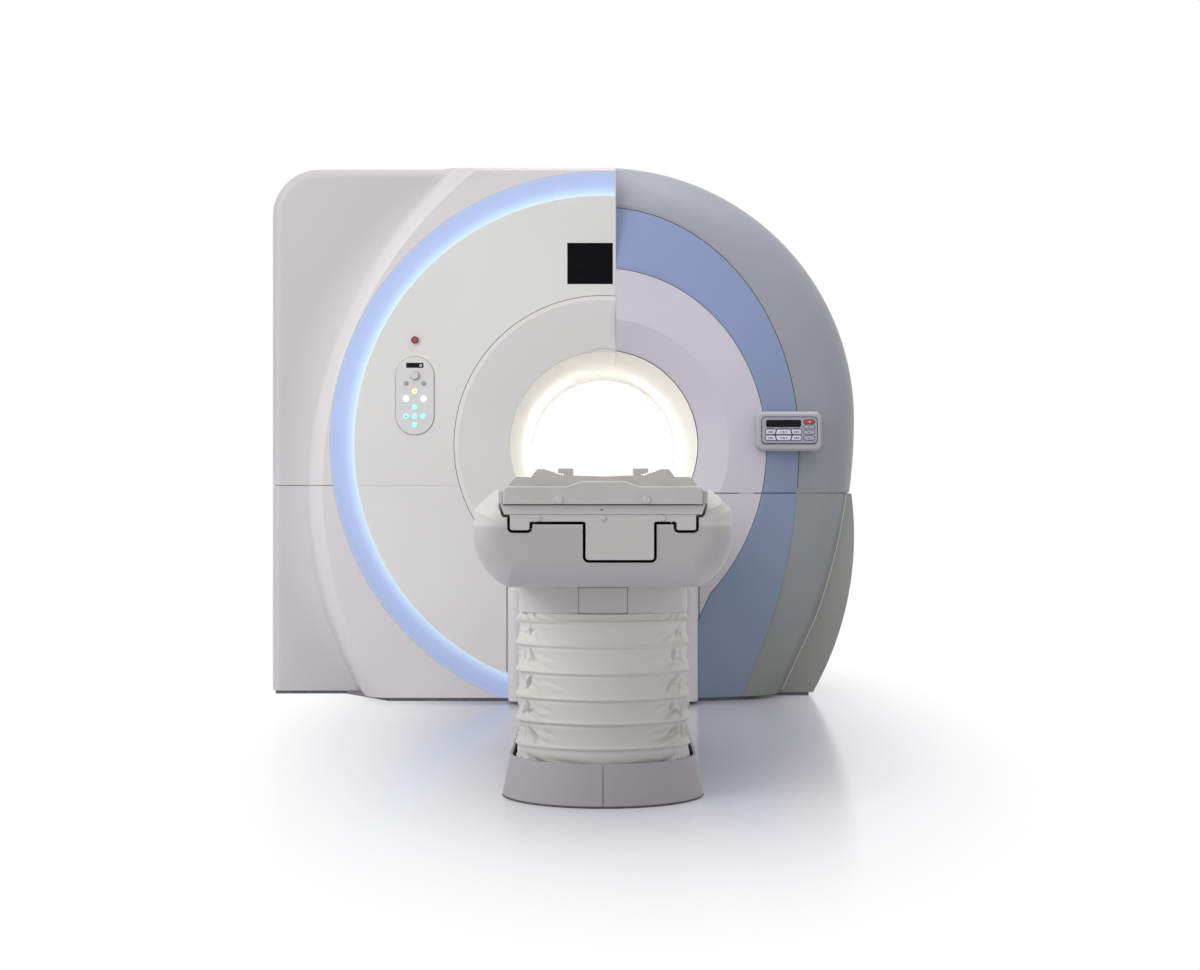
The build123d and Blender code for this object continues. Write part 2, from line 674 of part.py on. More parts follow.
with BuildPart() as button_panel:
    with BuildSketch(front(face_back)):
        with Locations((PANEL_X, PANEL_Z)):
            RectangleRounded(PANEL_W, PANEL_H, PANEL_W / 2 - FIT)
    extrude(amount=SHEET + PANEL_PROUD)
    fillet(button_panel.faces().sort_by(Axis.Y)[0].edges(), PANEL_PROUD / 2)
    with BuildSketch(front(panel_front)):
        with Locations((PANEL_X, PANEL_Z + PANEL_SCREEN_Z)):
            Rectangle(PANEL_SCREEN_W, PANEL_SCREEN_H)
    extrude(amount=-SCREEN_DEPTH, mode=Mode.SUBTRACT)
    with BuildSketch(front(panel_front)):
        for name, across, up, radius in buttons:
            with Locations((PANEL_X + across, PANEL_Z + up)):
                Circle(radius + BUTTON_GAP)
        with Locations((PANEL_X, PANEL_Z + KNOB_Z)):
            Circle(KNOB_R / 2 + BUTTON_GAP)
    extrude(amount=-SHEET - PANEL_PROUD, mode=Mode.SUBTRACT)
save(button_panel.part, "button_panel")

for name, across, up, radius in buttons:
    with BuildPart() as button:
        with BuildSketch(front(panel_front + BUTTON_STEM)):
            with Locations((PANEL_X + across, PANEL_Z + up)):
                Circle(radius)
        extrude(amount=BUTTON_STEM + BUTTON_PROUD)
        fillet(button.faces().sort_by(Axis.Y)[0].edges(), BUTTON_PROUD / 2)
    save(button.part, name)

with BuildPart() as mode_knob:
    with BuildSketch(front(panel_front - BUTTON_GAP)):
        with Locations((PANEL_X, PANEL_Z + KNOB_Z)):
            Circle(KNOB_R)
    extrude(amount=KNOB_H)
    chamfer(mode_knob.faces().sort_by(Axis.Y)[0].edges(), KNOB_H / 7)
    with BuildSketch(front(panel_front - BUTTON_GAP - KNOB_H)):
        with Locations((PANEL_X, PANEL_Z + KNOB_Z + KNOB_R / 2)):
            Rectangle(KNOB_R / 7, KNOB_R / 2)
    extrude(amount=-KNOB_H / 7, mode=Mode.SUBTRACT)
    with BuildSketch(front(panel_front + BUTTON_STEM)):
        with Locations((PANEL_X, PANEL_Z + KNOB_Z)):
            Circle(KNOB_R / 2)
    extrude(amount=BUTTON_STEM + 2 * BUTTON_GAP)
save(mode_knob.part, "mode_knob")

with BuildPart() as emergency_button:
    with BuildSketch(front(face_back - STOP_TRAVEL)):
        with Locations((PANEL_X, PANEL_Z + STOP_Z)):
            Circle(STOP_R)
    extrude(amount=SHEET - STOP_TRAVEL + STOP_H)
    fillet(emergency_button.faces().sort_by(Axis.Y)[0].edges(), STOP_R / 3)
save(emergency_button.part, "emergency_button")


# Right cover set: arched outlines, from the flat face over a sloping band to the shoulder


def floor_arc_width(size, height):
    """Half width, at a height, of the arc that runs from an arch's widest point to the floor."""
    half, top, centre, foot = arch(size)
    drop = centre - COVER_BOTTOM
    middle = (foot**2 + drop**2 - half**2) / (2 * (foot - half))
    radius = half - middle
    return middle + (radius**2 - (centre - height) ** 2) ** 0.5


def arch_face(size, inset, y, chin=False):
    """Arched outline at a depth: an ellipse on top, then sides that run down to the floor."""
    half, top, centre, foot = arch(size)
    knees = [(half - inward, AXIS_H - down) for inward, down in CHIN_KNEES]
    if not chin:
        knees = [(floor_arc_width(size, z), z) for x, z in knees]
    with BuildSketch(front(y)) as outline:
        with BuildLine():
            EllipticalCenterArc((0, centre), half - inset, top - inset, arc_size=90)
            side = TangentArc(
                (half - inset, centre), (knees[0][0] - inset, knees[0][1]), tangent=(0, -1)
            )
            Polyline(
                side @ 1,
                (knees[1][0] - inset, knees[1][1]),
                (foot - inset, COVER_BOTTOM),
                (0, COVER_BOTTOM),
                (0, centre + top - inset),
            )
        make_face()
    return outline.sketch


def shoulder_block(rear, middle, near):
    """Loft of the shoulder through its three outlines, each drawn in by its own inset."""
    with BuildPart() as block:
        loft(
            [
                arch_face(SHELL_OUT, rear, WING_Y),
                arch_face(SHELL_MID, middle, SHELL_MID_Y),
                arch_face(BAND_OUT, near, BAND_Y),
            ]
        )
    return block.part


def band_block(rear, near):
    """Loft of the band from the shoulder's edge to the face's edge."""
    with BuildPart() as block:
        loft(
            [
                arch_face(BAND_OUT, rear, BAND_Y),
                arch_face(BAND_IN, near, FACE_Y, chin=True),
            ],
            ruled=True,
        )
    return block.part


right_start = SPLIT_X + FIT
right_zone = keep_box((right_start, -FAR, COVER_BOTTOM), (FAR, FAR, 2 * FAR))
halves = {
    "upper": keep_box((right_start, -FAR, RIGHT_SEAM + SEAM_OPEN / 2), (FAR, FAR, 2 * FAR)),
    "lower": keep_box((right_start, -FAR, COVER_BOTTOM), (FAR, FAR, RIGHT_SEAM - SEAM_OPEN / 2)),
}
right_flange_zone = keep_box(
    (right_start, -FAR, RIGHT_SEAM - FLANGE_REACH), (FAR, FAR, RIGHT_SEAM + FLANGE_REACH)
)

with BuildPart() as shoulder_shell:
    add(shoulder_block(0, 0, -RIM))
    add(shoulder_block(SHEET, SHEET_SLANT, 0), mode=Mode.SUBTRACT)
with BuildPart() as shoulder_flange:
    add(shoulder_block(SHEET, SHEET_SLANT, 0))
    add(shoulder_block(SHEET + FLANGE, SHEET_SLANT + FLANGE, FLANGE), mode=Mode.SUBTRACT)
    add(right_flange_zone, mode=Mode.INTERSECT)
with BuildPart() as band_shell:
    add(band_block(SEAM, -RIM))
    add(band_block(RIM, 0), mode=Mode.SUBTRACT)

for half, zone in halves.items():
    with BuildPart() as shoulder:
        add(shoulder_shell.part)
        add(zone, mode=Mode.INTERSECT)
        if half == "lower":
            add(shoulder_flange.part)
    save(shoulder.part, f"shoulder_{half}")
    with BuildPart() as band:
        add(band_shell.part)
        add(zone, mode=Mode.INTERSECT)
    save(band.part, f"band_{half}")

right_mouth_y = FACE_Y + RIGHT_MOUTH_DEPTH
with BuildPart() as right_face:
    extrude(arch_face(BAND_IN, SEAM, face_back, chin=True), amount=SHEET)
    add(drum(CREASE_R, FACE_Y, face_back), mode=Mode.SUBTRACT)
    add(
        spun(
            [
                (FACE_Y, CREASE_R),
                (right_mouth_y, RIGHT_MOUTH_R),
                (right_mouth_y + SHEET, RIGHT_MOUTH_R),
                (face_back, CREASE_R),
            ]
        )
    )
    add(right_zone, mode=Mode.INTERSECT)
for half, zone in halves.items():
    with BuildPart() as half_face:
        add(right_face.part)
        add(zone, mode=Mode.INTERSECT)
    save(half_face.part, f"right_face_{half}")

with BuildPart() as bore_lip_right:
    add(lip(right_mouth_y, RIGHT_MOUTH_R, RIGHT_LIP_SEAM))
    add(right_of_split, mode=Mode.INTERSECT)
save(bore_lip_right.part, "bore_lip_right")

# Side covers of the right set: the upper follows the arch, the lower swells past it

with BuildPart() as side_cover_right_upper:
    extrude(arch_face(SHELL_OUT, 0, -WING_Y - SEAM), amount=2 * (-WING_Y - SEAM))
    extrude(arch_face(SHELL_OUT, SHEET, -WING_Y), amount=2 * -WING_Y, mode=Mode.SUBTRACT)
    add(halves["upper"], mode=Mode.INTERSECT)
save(side_cover_right_upper.part, "side_cover_right_upper")


def side_outline(inset, y):
    """Outline of the lower side cover, which swells past the arch below the joint line."""
    with BuildSketch(front(y)) as outline:
        with BuildLine():
            swell = ThreePointArc(
                (SHELL_HALF - SIDE_TOP - inset, RIGHT_SEAM - SEAM_OPEN / 2),
                (SHELL_HALF - SIDE_BELLY[0] - inset, AXIS_H - SIDE_BELLY[1]),
                (SHELL_HALF - SIDE_FOOT - inset, COVER_BOTTOM),
            )
            Polyline(
                swell @ 1,
                (SPLIT_X, COVER_BOTTOM),
                (SPLIT_X, RIGHT_SEAM - SEAM_OPEN / 2),
                swell @ 0,
            )
        make_face()
    return outline.sketch


with BuildPart() as side_cover_right_lower:
    extrude(side_outline(0, -SIDE_FRONT_Y), amount=2 * -SIDE_FRONT_Y)
    extrude(
        side_outline(SHEET, -SIDE_FRONT_Y - SHEET),
        amount=2 * (-SIDE_FRONT_Y - SHEET),
        mode=Mode.SUBTRACT,
    )
    extrude(arch_face(SHELL_OUT, -SEAM, -WING_Y), amount=2 * -WING_Y, mode=Mode.SUBTRACT)
    add(shoulder_block(-SEAM, -SEAM, -SEAM), mode=Mode.SUBTRACT)
    add(mirror(shoulder_block(-SEAM, -SEAM, -SEAM), about=Plane.XZ), mode=Mode.SUBTRACT)
save(side_cover_right_lower.part, "side_cover_right_lower")

# Keypad housing on the shoulder, and its moulded key mat

with BuildPart() as keypad_housing:
    with BuildSketch(front(KEYPAD_BACK_Y)):
        with Locations((KEYPAD_X, KEYPAD_Z)):
            RectangleRounded(KEYPAD_W, KEYPAD_H, KEYPAD_CORNER)
    extrude(amount=KEYPAD_BACK_Y - KEYPAD_FRONT_Y)
    chamfer(keypad_housing.faces().sort_by(Axis.Y)[0].edges(), KEYPAD_CORNER / 3)
    add(shoulder_block(-SEAM, -SEAM, -RIM - SEAM), mode=Mode.SUBTRACT)
    add(band_block(-SEAM, -RIM - SEAM), mode=Mode.SUBTRACT)
    with BuildSketch(front(KEYPAD_FRONT_Y)):
        with Locations((KEYPAD_X, KEYPAD_Z)):
            RectangleRounded(BEZEL_W + 2 * FIT, BEZEL_H + 2 * FIT, BEZEL_CORNER + FIT)
    extrude(amount=-BEZEL_DEPTH - FIT, mode=Mode.SUBTRACT)
save(keypad_housing.part, "keypad_housing")

with BuildPart() as key_mat:
    with BuildSketch(front(KEYPAD_FRONT_Y + BEZEL_DEPTH)):
        with Locations((KEYPAD_X, KEYPAD_Z)):
            RectangleRounded(BEZEL_W, BEZEL_H, BEZEL_CORNER)
    extrude(amount=BEZEL_DEPTH)
    with BuildSketch(front(KEYPAD_FRONT_Y)):
        with Locations((KEYPAD_X + KEY_BLOCK_X, KEYPAD_Z + KEY_BLOCK_Z)):
            with GridLocations(KEY_STEP_X, KEY_STEP_Z, 3, 2):
                RectangleRounded(KEY_W, KEY_H, KEY_H / 4)
        with Locations((KEYPAD_X + OVAL_X, KEYPAD_Z + OVAL_Z)):
            with GridLocations(KEY_STEP_X, OVAL_STEP_Z, 1, 3):
                SlotOverall(OVAL_W, OVAL_H)
        with Locations((KEYPAD_X + OVAL_X, KEYPAD_Z + RED_KEY_Z)):
            SlotOverall(OVAL_W, RED_KEY_H)
    extrude(amount=KEY_PROUD)
save(key_mat.part, "key_mat")

# Rear covers: the flank and the arch again, closed round the rear mouth of the bore

rear_hole = drum(RIGHT_MOUTH_R + SEAM, -BACK_Y - SHEET, -LINER_HALF)
with BuildPart() as rear_left_front:
    add(left_block(0, JOIN_Y))
    add(left_block(SHEET, JOIN_Y), mode=Mode.SUBTRACT)
    add(keep_box((-FAR, -FAR, COVER_BOTTOM), (SPLIT_X - SEAM, FAR, 2 * FAR)), mode=Mode.INTERSECT)
    add(rear_hole, mode=Mode.SUBTRACT)
with BuildPart() as rear_cover_left:
    add(mirror(rear_left_front.part, about=Plane.XZ))
save(rear_cover_left.part, "rear_cover_left")

with BuildPart() as rear_right_front:
    add(shoulder_block(0, 0, 0))
    add(band_block(0, 0))
    add(shoulder_block(SHEET, SHEET, SHEET), mode=Mode.SUBTRACT)
    add(band_block(SHEET, SHEET), mode=Mode.SUBTRACT)
    extrude(arch_face(BAND_IN, 0, face_back, chin=True), amount=SHEET)
    add(keep_box((SPLIT_X, -FAR, COVER_BOTTOM), (FAR, FAR, 2 * FAR)), mode=Mode.INTERSECT)
    add(rear_hole, mode=Mode.SUBTRACT)
with BuildPart() as rear_cover_right:
    add(mirror(rear_right_front.part, about=Plane.XZ))
save(rear_cover_right.part, "rear_cover_right")

with BuildPart() as rear_bore_ring:
    add(mirror(lip(-BACK_Y, RIGHT_MOUTH_R, SEAM), about=Plane.XZ))
save(rear_bore_ring.part, "rear_bore_ring")

# Docking housing, a hollow box on the face behind the couch

with BuildPart() as docking_housing:
    with BuildSketch(Plane.XY.offset(COVER_BOTTOM)) as dock_plan:
        with Locations((0, FACE_Y - FIT)):
            Rectangle(2 * DOCK_HALF, 2 * DOCK_DEPTH)
        fillet(dock_plan.vertices().group_by(Axis.Y)[0], DOCK_CORNER)
        with Locations((0, FACE_Y - FIT)):
            Rectangle(
                3 * DOCK_HALF, 2 * DOCK_DEPTH, align=(Align.CENTER, Align.MIN), mode=Mode.SUBTRACT
            )
    extrude(amount=DOCK_H - COVER_BOTTOM)
    dock_rim = docking_housing.faces().sort_by(Axis.Z)[-1].edges().sort_by(Axis.Y)[:-1]
    fillet(dock_rim, DOCK_CORNER / 3)
    with BuildSketch(Plane.XY.offset(COVER_BOTTOM)):
        with Locations((0, FACE_Y - FIT)):
            Rectangle(
                2 * (DOCK_HALF - DOCK_CORNER),
                DOCK_DEPTH - DOCK_CORNER / 2,
                align=(Align.CENTER, Align.MAX),
            )
    extrude(amount=DOCK_H - COVER_BOTTOM - DOCK_CORNER / 2, mode=Mode.SUBTRACT)
save(docking_housing.part, "docking_housing")

# Couch frame: floor plate under the plinth, bolted on to the base plate, with the outer lift column


def bullet(half, nose_y, nose, rear_y, z):
    """Plan outline with a half-elliptic front and a square rear."""
    with BuildSketch(Plane.XY.offset(z)) as outline:
        with BuildLine():
            tip = EllipticalCenterArc((0, nose_y + nose), half, nose, 180, arc_size=180)
            Polyline(tip @ 1, (half, rear_y), (-half, rear_y), tip @ 0)
        make_face()
    return outline.sketch


def tube(width, length, wall, z_from, z_to):
    """Square stage of the lift column."""
    with BuildPart() as stage:
        with BuildSketch(Plane((0, COLUMN_Y, z_from))):
            RectangleRounded(width, length, 2 * wall)
            RectangleRounded(width - 2 * wall, length - 2 * wall, wall, mode=Mode.SUBTRACT)
        extrude(amount=z_to - z_from)
    return stage.part


plate_in = PLINTH_WALL + FIT + PLINTH_BATTER * FLOOR_PLATE / PLINTH_H
with BuildPart() as couch_frame:
    extrude(
        bullet(
            PLINTH_HALF - plate_in,
            PLINTH_FRONT + plate_in,
            PLINTH_NOSE - plate_in,
            PLINTH_REAR - plate_in,
            0,
        ),
        amount=FLOOR_PLATE,
    )
    with BuildSketch():
        with Locations((0, FACE_Y + 2 * SHEET - FIT)):
            Rectangle(
                2 * BEAM_HALF,
                FACE_Y + 2 * SHEET - FIT - PLINTH_REAR + 2 * plate_in,
                align=(Align.CENTER, Align.MAX),
            )
    extrude(amount=FLOOR_PLATE)
    add(tube(COLUMN_W, COLUMN_L, COLUMN_WALL, FLOOR_PLATE, OUTER_TOP))
save(couch_frame.part, "couch_frame")

step = COLUMN_WALL + COLUMN_RUN
column_mid = tube(
    COLUMN_W - 2 * step, COLUMN_L - 2 * step, COLUMN_WALL, MID_BOTTOM, MID_TOP
)
save(column_mid, "column_mid")
keel_floor = KEEL_BOTTOM - TRACK_GAP - SHEET
column_inner = tube(
    COLUMN_W - 4 * step, COLUMN_L - 4 * step, COLUMN_WALL, INNER_BOTTOM, keel_floor - FIT
)
save(column_inner, "column_inner")

with BuildPart() as plinth:
    loft(
        [
            bullet(PLINTH_HALF, PLINTH_FRONT, PLINTH_NOSE, PLINTH_REAR, 0),
            bullet(
                PLINTH_TOP_HALF,
                PLINTH_FRONT + PLINTH_BATTER,
                PLINTH_NOSE - PLINTH_BATTER,
                PLINTH_REAR - PLINTH_BATTER,
                PLINTH_H,
            ),
        ],
        ruled=True,
    )
    loft(
        [
            bullet(
                PLINTH_HALF - PLINTH_WALL,
                PLINTH_FRONT + PLINTH_WALL,
                PLINTH_NOSE - PLINTH_WALL,
                PLINTH_REAR - PLINTH_WALL,
                0,
            ),
            bullet(
                PLINTH_TOP_HALF - PLINTH_WALL,
                PLINTH_FRONT + PLINTH_BATTER + PLINTH_WALL,
                PLINTH_NOSE - PLINTH_BATTER - PLINTH_WALL,
                PLINTH_REAR - PLINTH_BATTER - PLINTH_WALL,
                PLINTH_H,
            ),
        ],
        ruled=True,
        mode=Mode.SUBTRACT,
    )
    with BuildSketch():
        with Locations((0, PLINTH_REAR)):
            Rectangle(2 * BEAM_HALF + 2 * FIT, 4 * PLINTH_BATTER)
    extrude(amount=FLOOR_PLATE + FIT, mode=Mode.SUBTRACT)
    with BuildSketch(front(PLINTH_FRONT)):
        Rectangle(PLINTH_SEAM, 2 * PLINTH_H)
    extrude(amount=-PLINTH_NOSE, mode=Mode.SUBTRACT)
save(plinth.part, "plinth")

# Bellows of coated cloth: flat ribs at the seams, with the cloth drawn in between them


def bowed(half, grow, z):
    """Plan outline of the bellows and the neck: bowed front, square rear, rounded corners."""
    side = half + grow
    y_front = NECK_FRONT - grow
    y_rear = NECK_REAR + grow
    with BuildSketch(Plane.XY.offset(z)) as outline:
        with BuildLine():
            bow = ThreePointArc((-side, y_front + BOW), (0, y_front), (side, y_front + BOW))
            Polyline(bow @ 1, (side, y_rear), (-side, y_rear), bow @ 0)
        make_face()
        fillet(outline.vertices(), NECK_CORNER + grow)
    return outline.sketch


bellows_top = NECK_BOTTOM - FIT
bellows_bottom = FLOOR_PLATE + FIT
levels = [(bellows_bottom, 0.0)]
previous = bellows_bottom
for share in RIB_SHARES:
    height = bellows_bottom + share * (bellows_top - bellows_bottom)
    levels += [
        ((previous + height) / 2, -PINCH),
        (height - RIB_HALF_H, 0.0),
        (height, RIB_PROUD),
        (height + RIB_HALF_H, 0.0),
    ]
    previous = height
levels.append((bellows_top, 0.0))
with BuildPart() as bellows:
    loft([bowed(BELLOWS_HALF, grow, z) for z, grow in levels], ruled=True)
    extrude(
        bowed(BELLOWS_HALF, -PINCH - BELLOWS_WALL, bellows_bottom),
        amount=bellows_top - bellows_bottom,
        mode=Mode.SUBTRACT,
    )
save(bellows.part, "bellows")

# Neck that carries the couch shell, with its service hatch

with BuildPart() as hatch_zone:
    with BuildSketch(front(NECK_FRONT - BOW)):
        with Locations((0, NECK_BOTTOM + SEAM)):
            RectangleRounded(
                2 * HATCH_HALF, HATCH_H, 2 * FIT, align=(Align.CENTER, Align.MIN)
            )
    extrude(amount=-2 * BOW)

neck_h = TUB_BOTTOM - FIT - NECK_BOTTOM
with BuildPart() as neck:
    extrude(bowed(NECK_HALF, 0, NECK_BOTTOM), amount=neck_h)
    extrude(bowed(NECK_HALF, -NECK_WALL, NECK_BOTTOM), amount=neck_h, mode=Mode.SUBTRACT)
    add(hatch_zone.part, mode=Mode.SUBTRACT)
    extrude(bowed(NECK_HALF, -NECK_WALL / 2, NECK_BOTTOM), amount=neck_h)
    extrude(bowed(NECK_HALF, -NECK_WALL, NECK_BOTTOM), amount=neck_h, mode=Mode.SUBTRACT)
save(neck.part, "neck")

with BuildPart() as neck_hatch:
    extrude(bowed(NECK_HALF, HATCH_PROUD, NECK_BOTTOM), amount=neck_h)
    extrude(
        bowed(NECK_HALF, FIT - NECK_WALL / 2, NECK_BOTTOM), amount=neck_h, mode=Mode.SUBTRACT
    )
    with BuildSketch(front(NECK_FRONT - BOW)):
        with Locations((0, NECK_BOTTOM + SEAM + HATCH_SEAM)):
            RectangleRounded(
                2 * (HATCH_HALF - HATCH_SEAM),
                HATCH_H - 2 * HATCH_SEAM,
                FIT,
                align=(Align.CENTER, Align.MIN),
            )
    extrude(amount=-2 * BOW, mode=Mode.INTERSECT)
save(neck_hatch.part, "neck_hatch")

# Carriage below the tabletop: an upper layer, two shoes and a deep keel

table_seat = TABLE_BOTTOM - FIT
sledge_bottom = TABLE_BOTTOM - SLEDGE_H
foot_rounds = (SLEDGE_ROUND, SLEDGE_ROUND, *[SHOE_ROUND] * 4, KEEL_ROUND)
with BuildSketch(front(CARRIAGE_FRONT)) as carriage_outline:
    with BuildLine():
        FilletPolyline(
            (-SLEDGE_TOP_HALF, table_seat),
            (-SLEDGE_BOTTOM_HALF, sledge_bottom),
            (-SHOE_OUT, sledge_bottom),
            (-SHOE_OUT, SHOE_BOTTOM),
            (-SHOE_IN, SHOE_BOTTOM),
            (-SHOE_IN, SLEDGE_BELLY),
            (KEEL_LEFT, SLEDGE_BELLY),
            (KEEL_LEFT, KEEL_BOTTOM),
            (KEEL_RIGHT, KEEL_BOTTOM),
            (KEEL_RIGHT, SLEDGE_BELLY),
            (SHOE_IN, SLEDGE_BELLY),
            (SHOE_IN, SHOE_BOTTOM),
            (SHOE_OUT, SHOE_BOTTOM),
            (SHOE_OUT, sledge_bottom),
            (SLEDGE_BOTTOM_HALF, sledge_bottom),
            (SLEDGE_TOP_HALF, table_seat),
            close=True,
            radius=(0, *foot_rounds, *reversed(foot_rounds), 0),
        )
    make_face()

with BuildPart() as carriage:
    extrude(carriage_outline.sketch, amount=-CARRIAGE_LENGTH)
    with BuildSketch(front(CARRIAGE_FRONT)):
        with Locations((0, sledge_bottom)):
            Rectangle(2 * SLEDGE_TOP_HALF, JOINT_LINE)
    extrude(amount=-2 * JOINT_LINE, mode=Mode.SUBTRACT)
    with BuildSketch(front(CARRIAGE_FRONT)):
        with Locations((PORT_X, PORT_Z)):
            Circle(PORT_R)
    extrude(amount=-2 * PORT_R, mode=Mode.SUBTRACT)
save(carriage.part, "carriage")

# Couch shell: one section along its length, cut to its plan and its side view

with BuildPart() as tub:
    with BuildSketch(front(TUB_FRONT)):
        with BuildLine():
            belly = ThreePointArc((TUB_KEEL_HALF, TUB_BOTTOM), TUB_KNEE, (TUB_HALF, TUB_SIDE[0]))
            Polyline(
                (0, TUB_BOTTOM),
                (TUB_KEEL_HALF, TUB_BOTTOM),
            )
            Polyline(
                belly @ 1,
                (TUB_HALF, TUB_SIDE[1]),
                (TUB_RIM_HALF, TUB_TOP),
                (0, TUB_TOP),
            )
            mirror(about=Plane.YZ)
        make_face()
    extrude(amount=TUB_FRONT - TUB_REAR)
    fillet(tub.faces().sort_by(Axis.Y)[0].edges(), NOSE_ROUND)
    with BuildSketch(Plane.XY.offset(TUB_BOTTOM)) as tub_plan:
        with BuildLine():
            FilletPolyline(
                (-TUB_HALF, TUB_FRONT),
                (TUB_HALF, TUB_FRONT),
                (TUB_HALF, TUB_REAR),
                (-TUB_HALF, TUB_REAR),
                close=True,
                radius=(0, 0, TAIL_CORNER, TAIL_CORNER),
            )
        make_face()
    extrude(amount=TUB_TOP - TUB_BOTTOM, mode=Mode.INTERSECT)
    with BuildSketch(Plane.YZ):
        with BuildLine():
            FilletPolyline(
                (TUB_FRONT, TUB_BOTTOM),
                (TUB_FRONT, TUB_SIDE[1]),
                (TUB_FRONT + NOSE_LENGTH, TUB_TOP),
                (TUB_REAR, TUB_TOP),
                (TUB_REAR, TUB_BOTTOM),
                close=True,
                radius=(0, TAIL_CORNER / 2, TAIL_CORNER, TAIL_CORNER / 2, TAIL_CORNER),
            )
        make_face()
    extrude(amount=TUB_HALF, both=True, mode=Mode.INTERSECT)
    track_length = TUB_REAR - SADDLE_LENGTH - TUB_FRONT
    with BuildSketch(front(TUB_FRONT)) as track:
        add(carriage_outline.sketch.faces()[0].moved(Location((0, TUB_FRONT - CARRIAGE_FRONT, 0))))
        offset(amount=TRACK_GAP)
        with Locations((0, table_seat)):
            Rectangle(
                2 * (SLEDGE_TOP_HALF + TRACK_GAP),
                TUB_TOP,
                align=(Align.CENTER, Align.MIN),
            )
    extrude(amount=-track_length, mode=Mode.SUBTRACT)
    with BuildSketch(Plane.XY.offset(table_seat)):
        with Locations((0, TUB_REAR)):
            Rectangle(2 * (SLEDGE_TOP_HALF + TRACK_GAP), 2 * (SADDLE_LENGTH + SEAM))
    extrude(amount=TUB_TOP, mode=Mode.SUBTRACT)
    with BuildSketch(Plane((0, COLUMN_Y, TUB_BOTTOM))):
        RectangleRounded(COLUMN_W + COLUMN_CLEAR, COLUMN_L + COLUMN_CLEAR, COLUMN_CLEAR / 2)
    extrude(amount=keel_floor - TUB_BOTTOM, mode=Mode.SUBTRACT)
save(tub.part, "tub")

# Sliding tabletop with its foot cap, sockets and screws

with BuildPart() as tabletop:
    with BuildSketch(front(TABLE_FRONT)):
        with BuildLine():
            Polyline(
                (0, TABLE_BOTTOM),
                (TABLE_HALF, TABLE_BOTTOM),
                (TABLE_HALF, TABLE_EDGE_Z),
                TABLE_STEP,
                (TABLE_RIDGE[0] + RIDGE_WIDTH, TABLE_STEP[1]),
                TABLE_RIDGE,
                (TABLE_RIDGE[0] - RIDGE_WIDTH, TABLE_RIDGE[1]),
                TABLE_DISH,
                (0, TABLE_MIDDLE_Z),
            )
            mirror(about=Plane.YZ)
        make_face()
    extrude(amount=TABLE_FRONT - TABLE_REAR)
    with BuildSketch(Plane.XY.offset(TABLE_BOTTOM)):
        with BuildLine():
            FilletPolyline(
                (-TABLE_HALF, TABLE_FRONT),
                (TABLE_HALF, TABLE_FRONT),
                (TABLE_HALF, TABLE_REAR),
                (-TABLE_HALF, TABLE_REAR),
                close=True,
                radius=(0, 0, HEAD_CORNER, HEAD_CORNER),
            )
        make_face()
    extrude(amount=TABLE_RIDGE[1], mode=Mode.INTERSECT)
save(tabletop.part, "tabletop")

with BuildPart() as foot_cap:
    with BuildSketch(front(TABLE_FRONT - FIT)):
        with BuildLine():
            FilletPolyline(
                (-CAP_HALF, TABLE_BOTTOM + FIT),
                (CAP_HALF, TABLE_BOTTOM + FIT),
                (CAP_HALF, CAP_TOP),
                (HUMP_SLOPE, CAP_TOP),
                (HUMP_HALF, CAP_HUMP),
                (-HUMP_HALF, CAP_HUMP),
                (-HUMP_SLOPE, CAP_TOP),
                (-CAP_HALF, CAP_TOP),
                close=True,
                radius=(0, 0, CAP_CORNER, CAP_CORNER, CAP_CORNER, CAP_CORNER, CAP_CORNER, CAP_CORNER),
            )
        make_face()
    extrude(amount=TABLE_FRONT - FIT - CAP_FRONT)
    fillet(foot_cap.faces().sort_by(Axis.Y)[0].edges().sort_by(Axis.Z)[1:], CAP_ROUND)
save(foot_cap.part, "foot_cap")

with BuildPart() as coil_sockets:
    with BuildSketch(Plane.XY.offset(TABLE_MIDDLE_Z)):
        with Locations((0, SOCKET_Y)):
            with GridLocations(2 * SOCKET_X, SOCKET_LENGTH, 2, 1):
                RectangleRounded(SOCKET_WIDTH, SOCKET_LENGTH, SOCKET_WIDTH / 12)
    extrude(amount=SOCKET_TOP - TABLE_MIDDLE_Z)
    add(tabletop.part, mode=Mode.SUBTRACT)
save(coil_sockets.part, "coil_sockets")

with BuildPart() as table_screws:
    with BuildSketch(front(CAP_FRONT - FIT)):
        with Locations((-CAP_SCREW_X, CAP_SCREW_Z), (CAP_SCREW_X, CAP_SCREW_Z)):
            Circle(CAP_SCREW_R)
    extrude(amount=SCREW_PROUD)
    with BuildSketch(front(CARRIAGE_FRONT - FIT)):
        with Locations(*[(x, SLEDGE_SCREW_Z) for x in SLEDGE_SCREW_X]):
            Circle(SLEDGE_SCREW_R)
    extrude(amount=SCREW_PROUD)
    screw_rims = table_screws.edges().filter_by(GeomType.CIRCLE).filter_by(
        lambda edge: edge.center().Y < CAP_FRONT - SCREW_PROUD
        or CAP_FRONT < edge.center().Y < CARRIAGE_FRONT - SCREW_PROUD
    )
    fillet(screw_rims, SCREW_ROUND)
save(table_screws.part, "table_screws")
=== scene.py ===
"""Whole-body MRI scanner: finishes of its covers, couch and controls, and the studio they stand in.

Metres. X runs to the right seen from the couch, Y runs into the bore, Z is up.
"""

import math

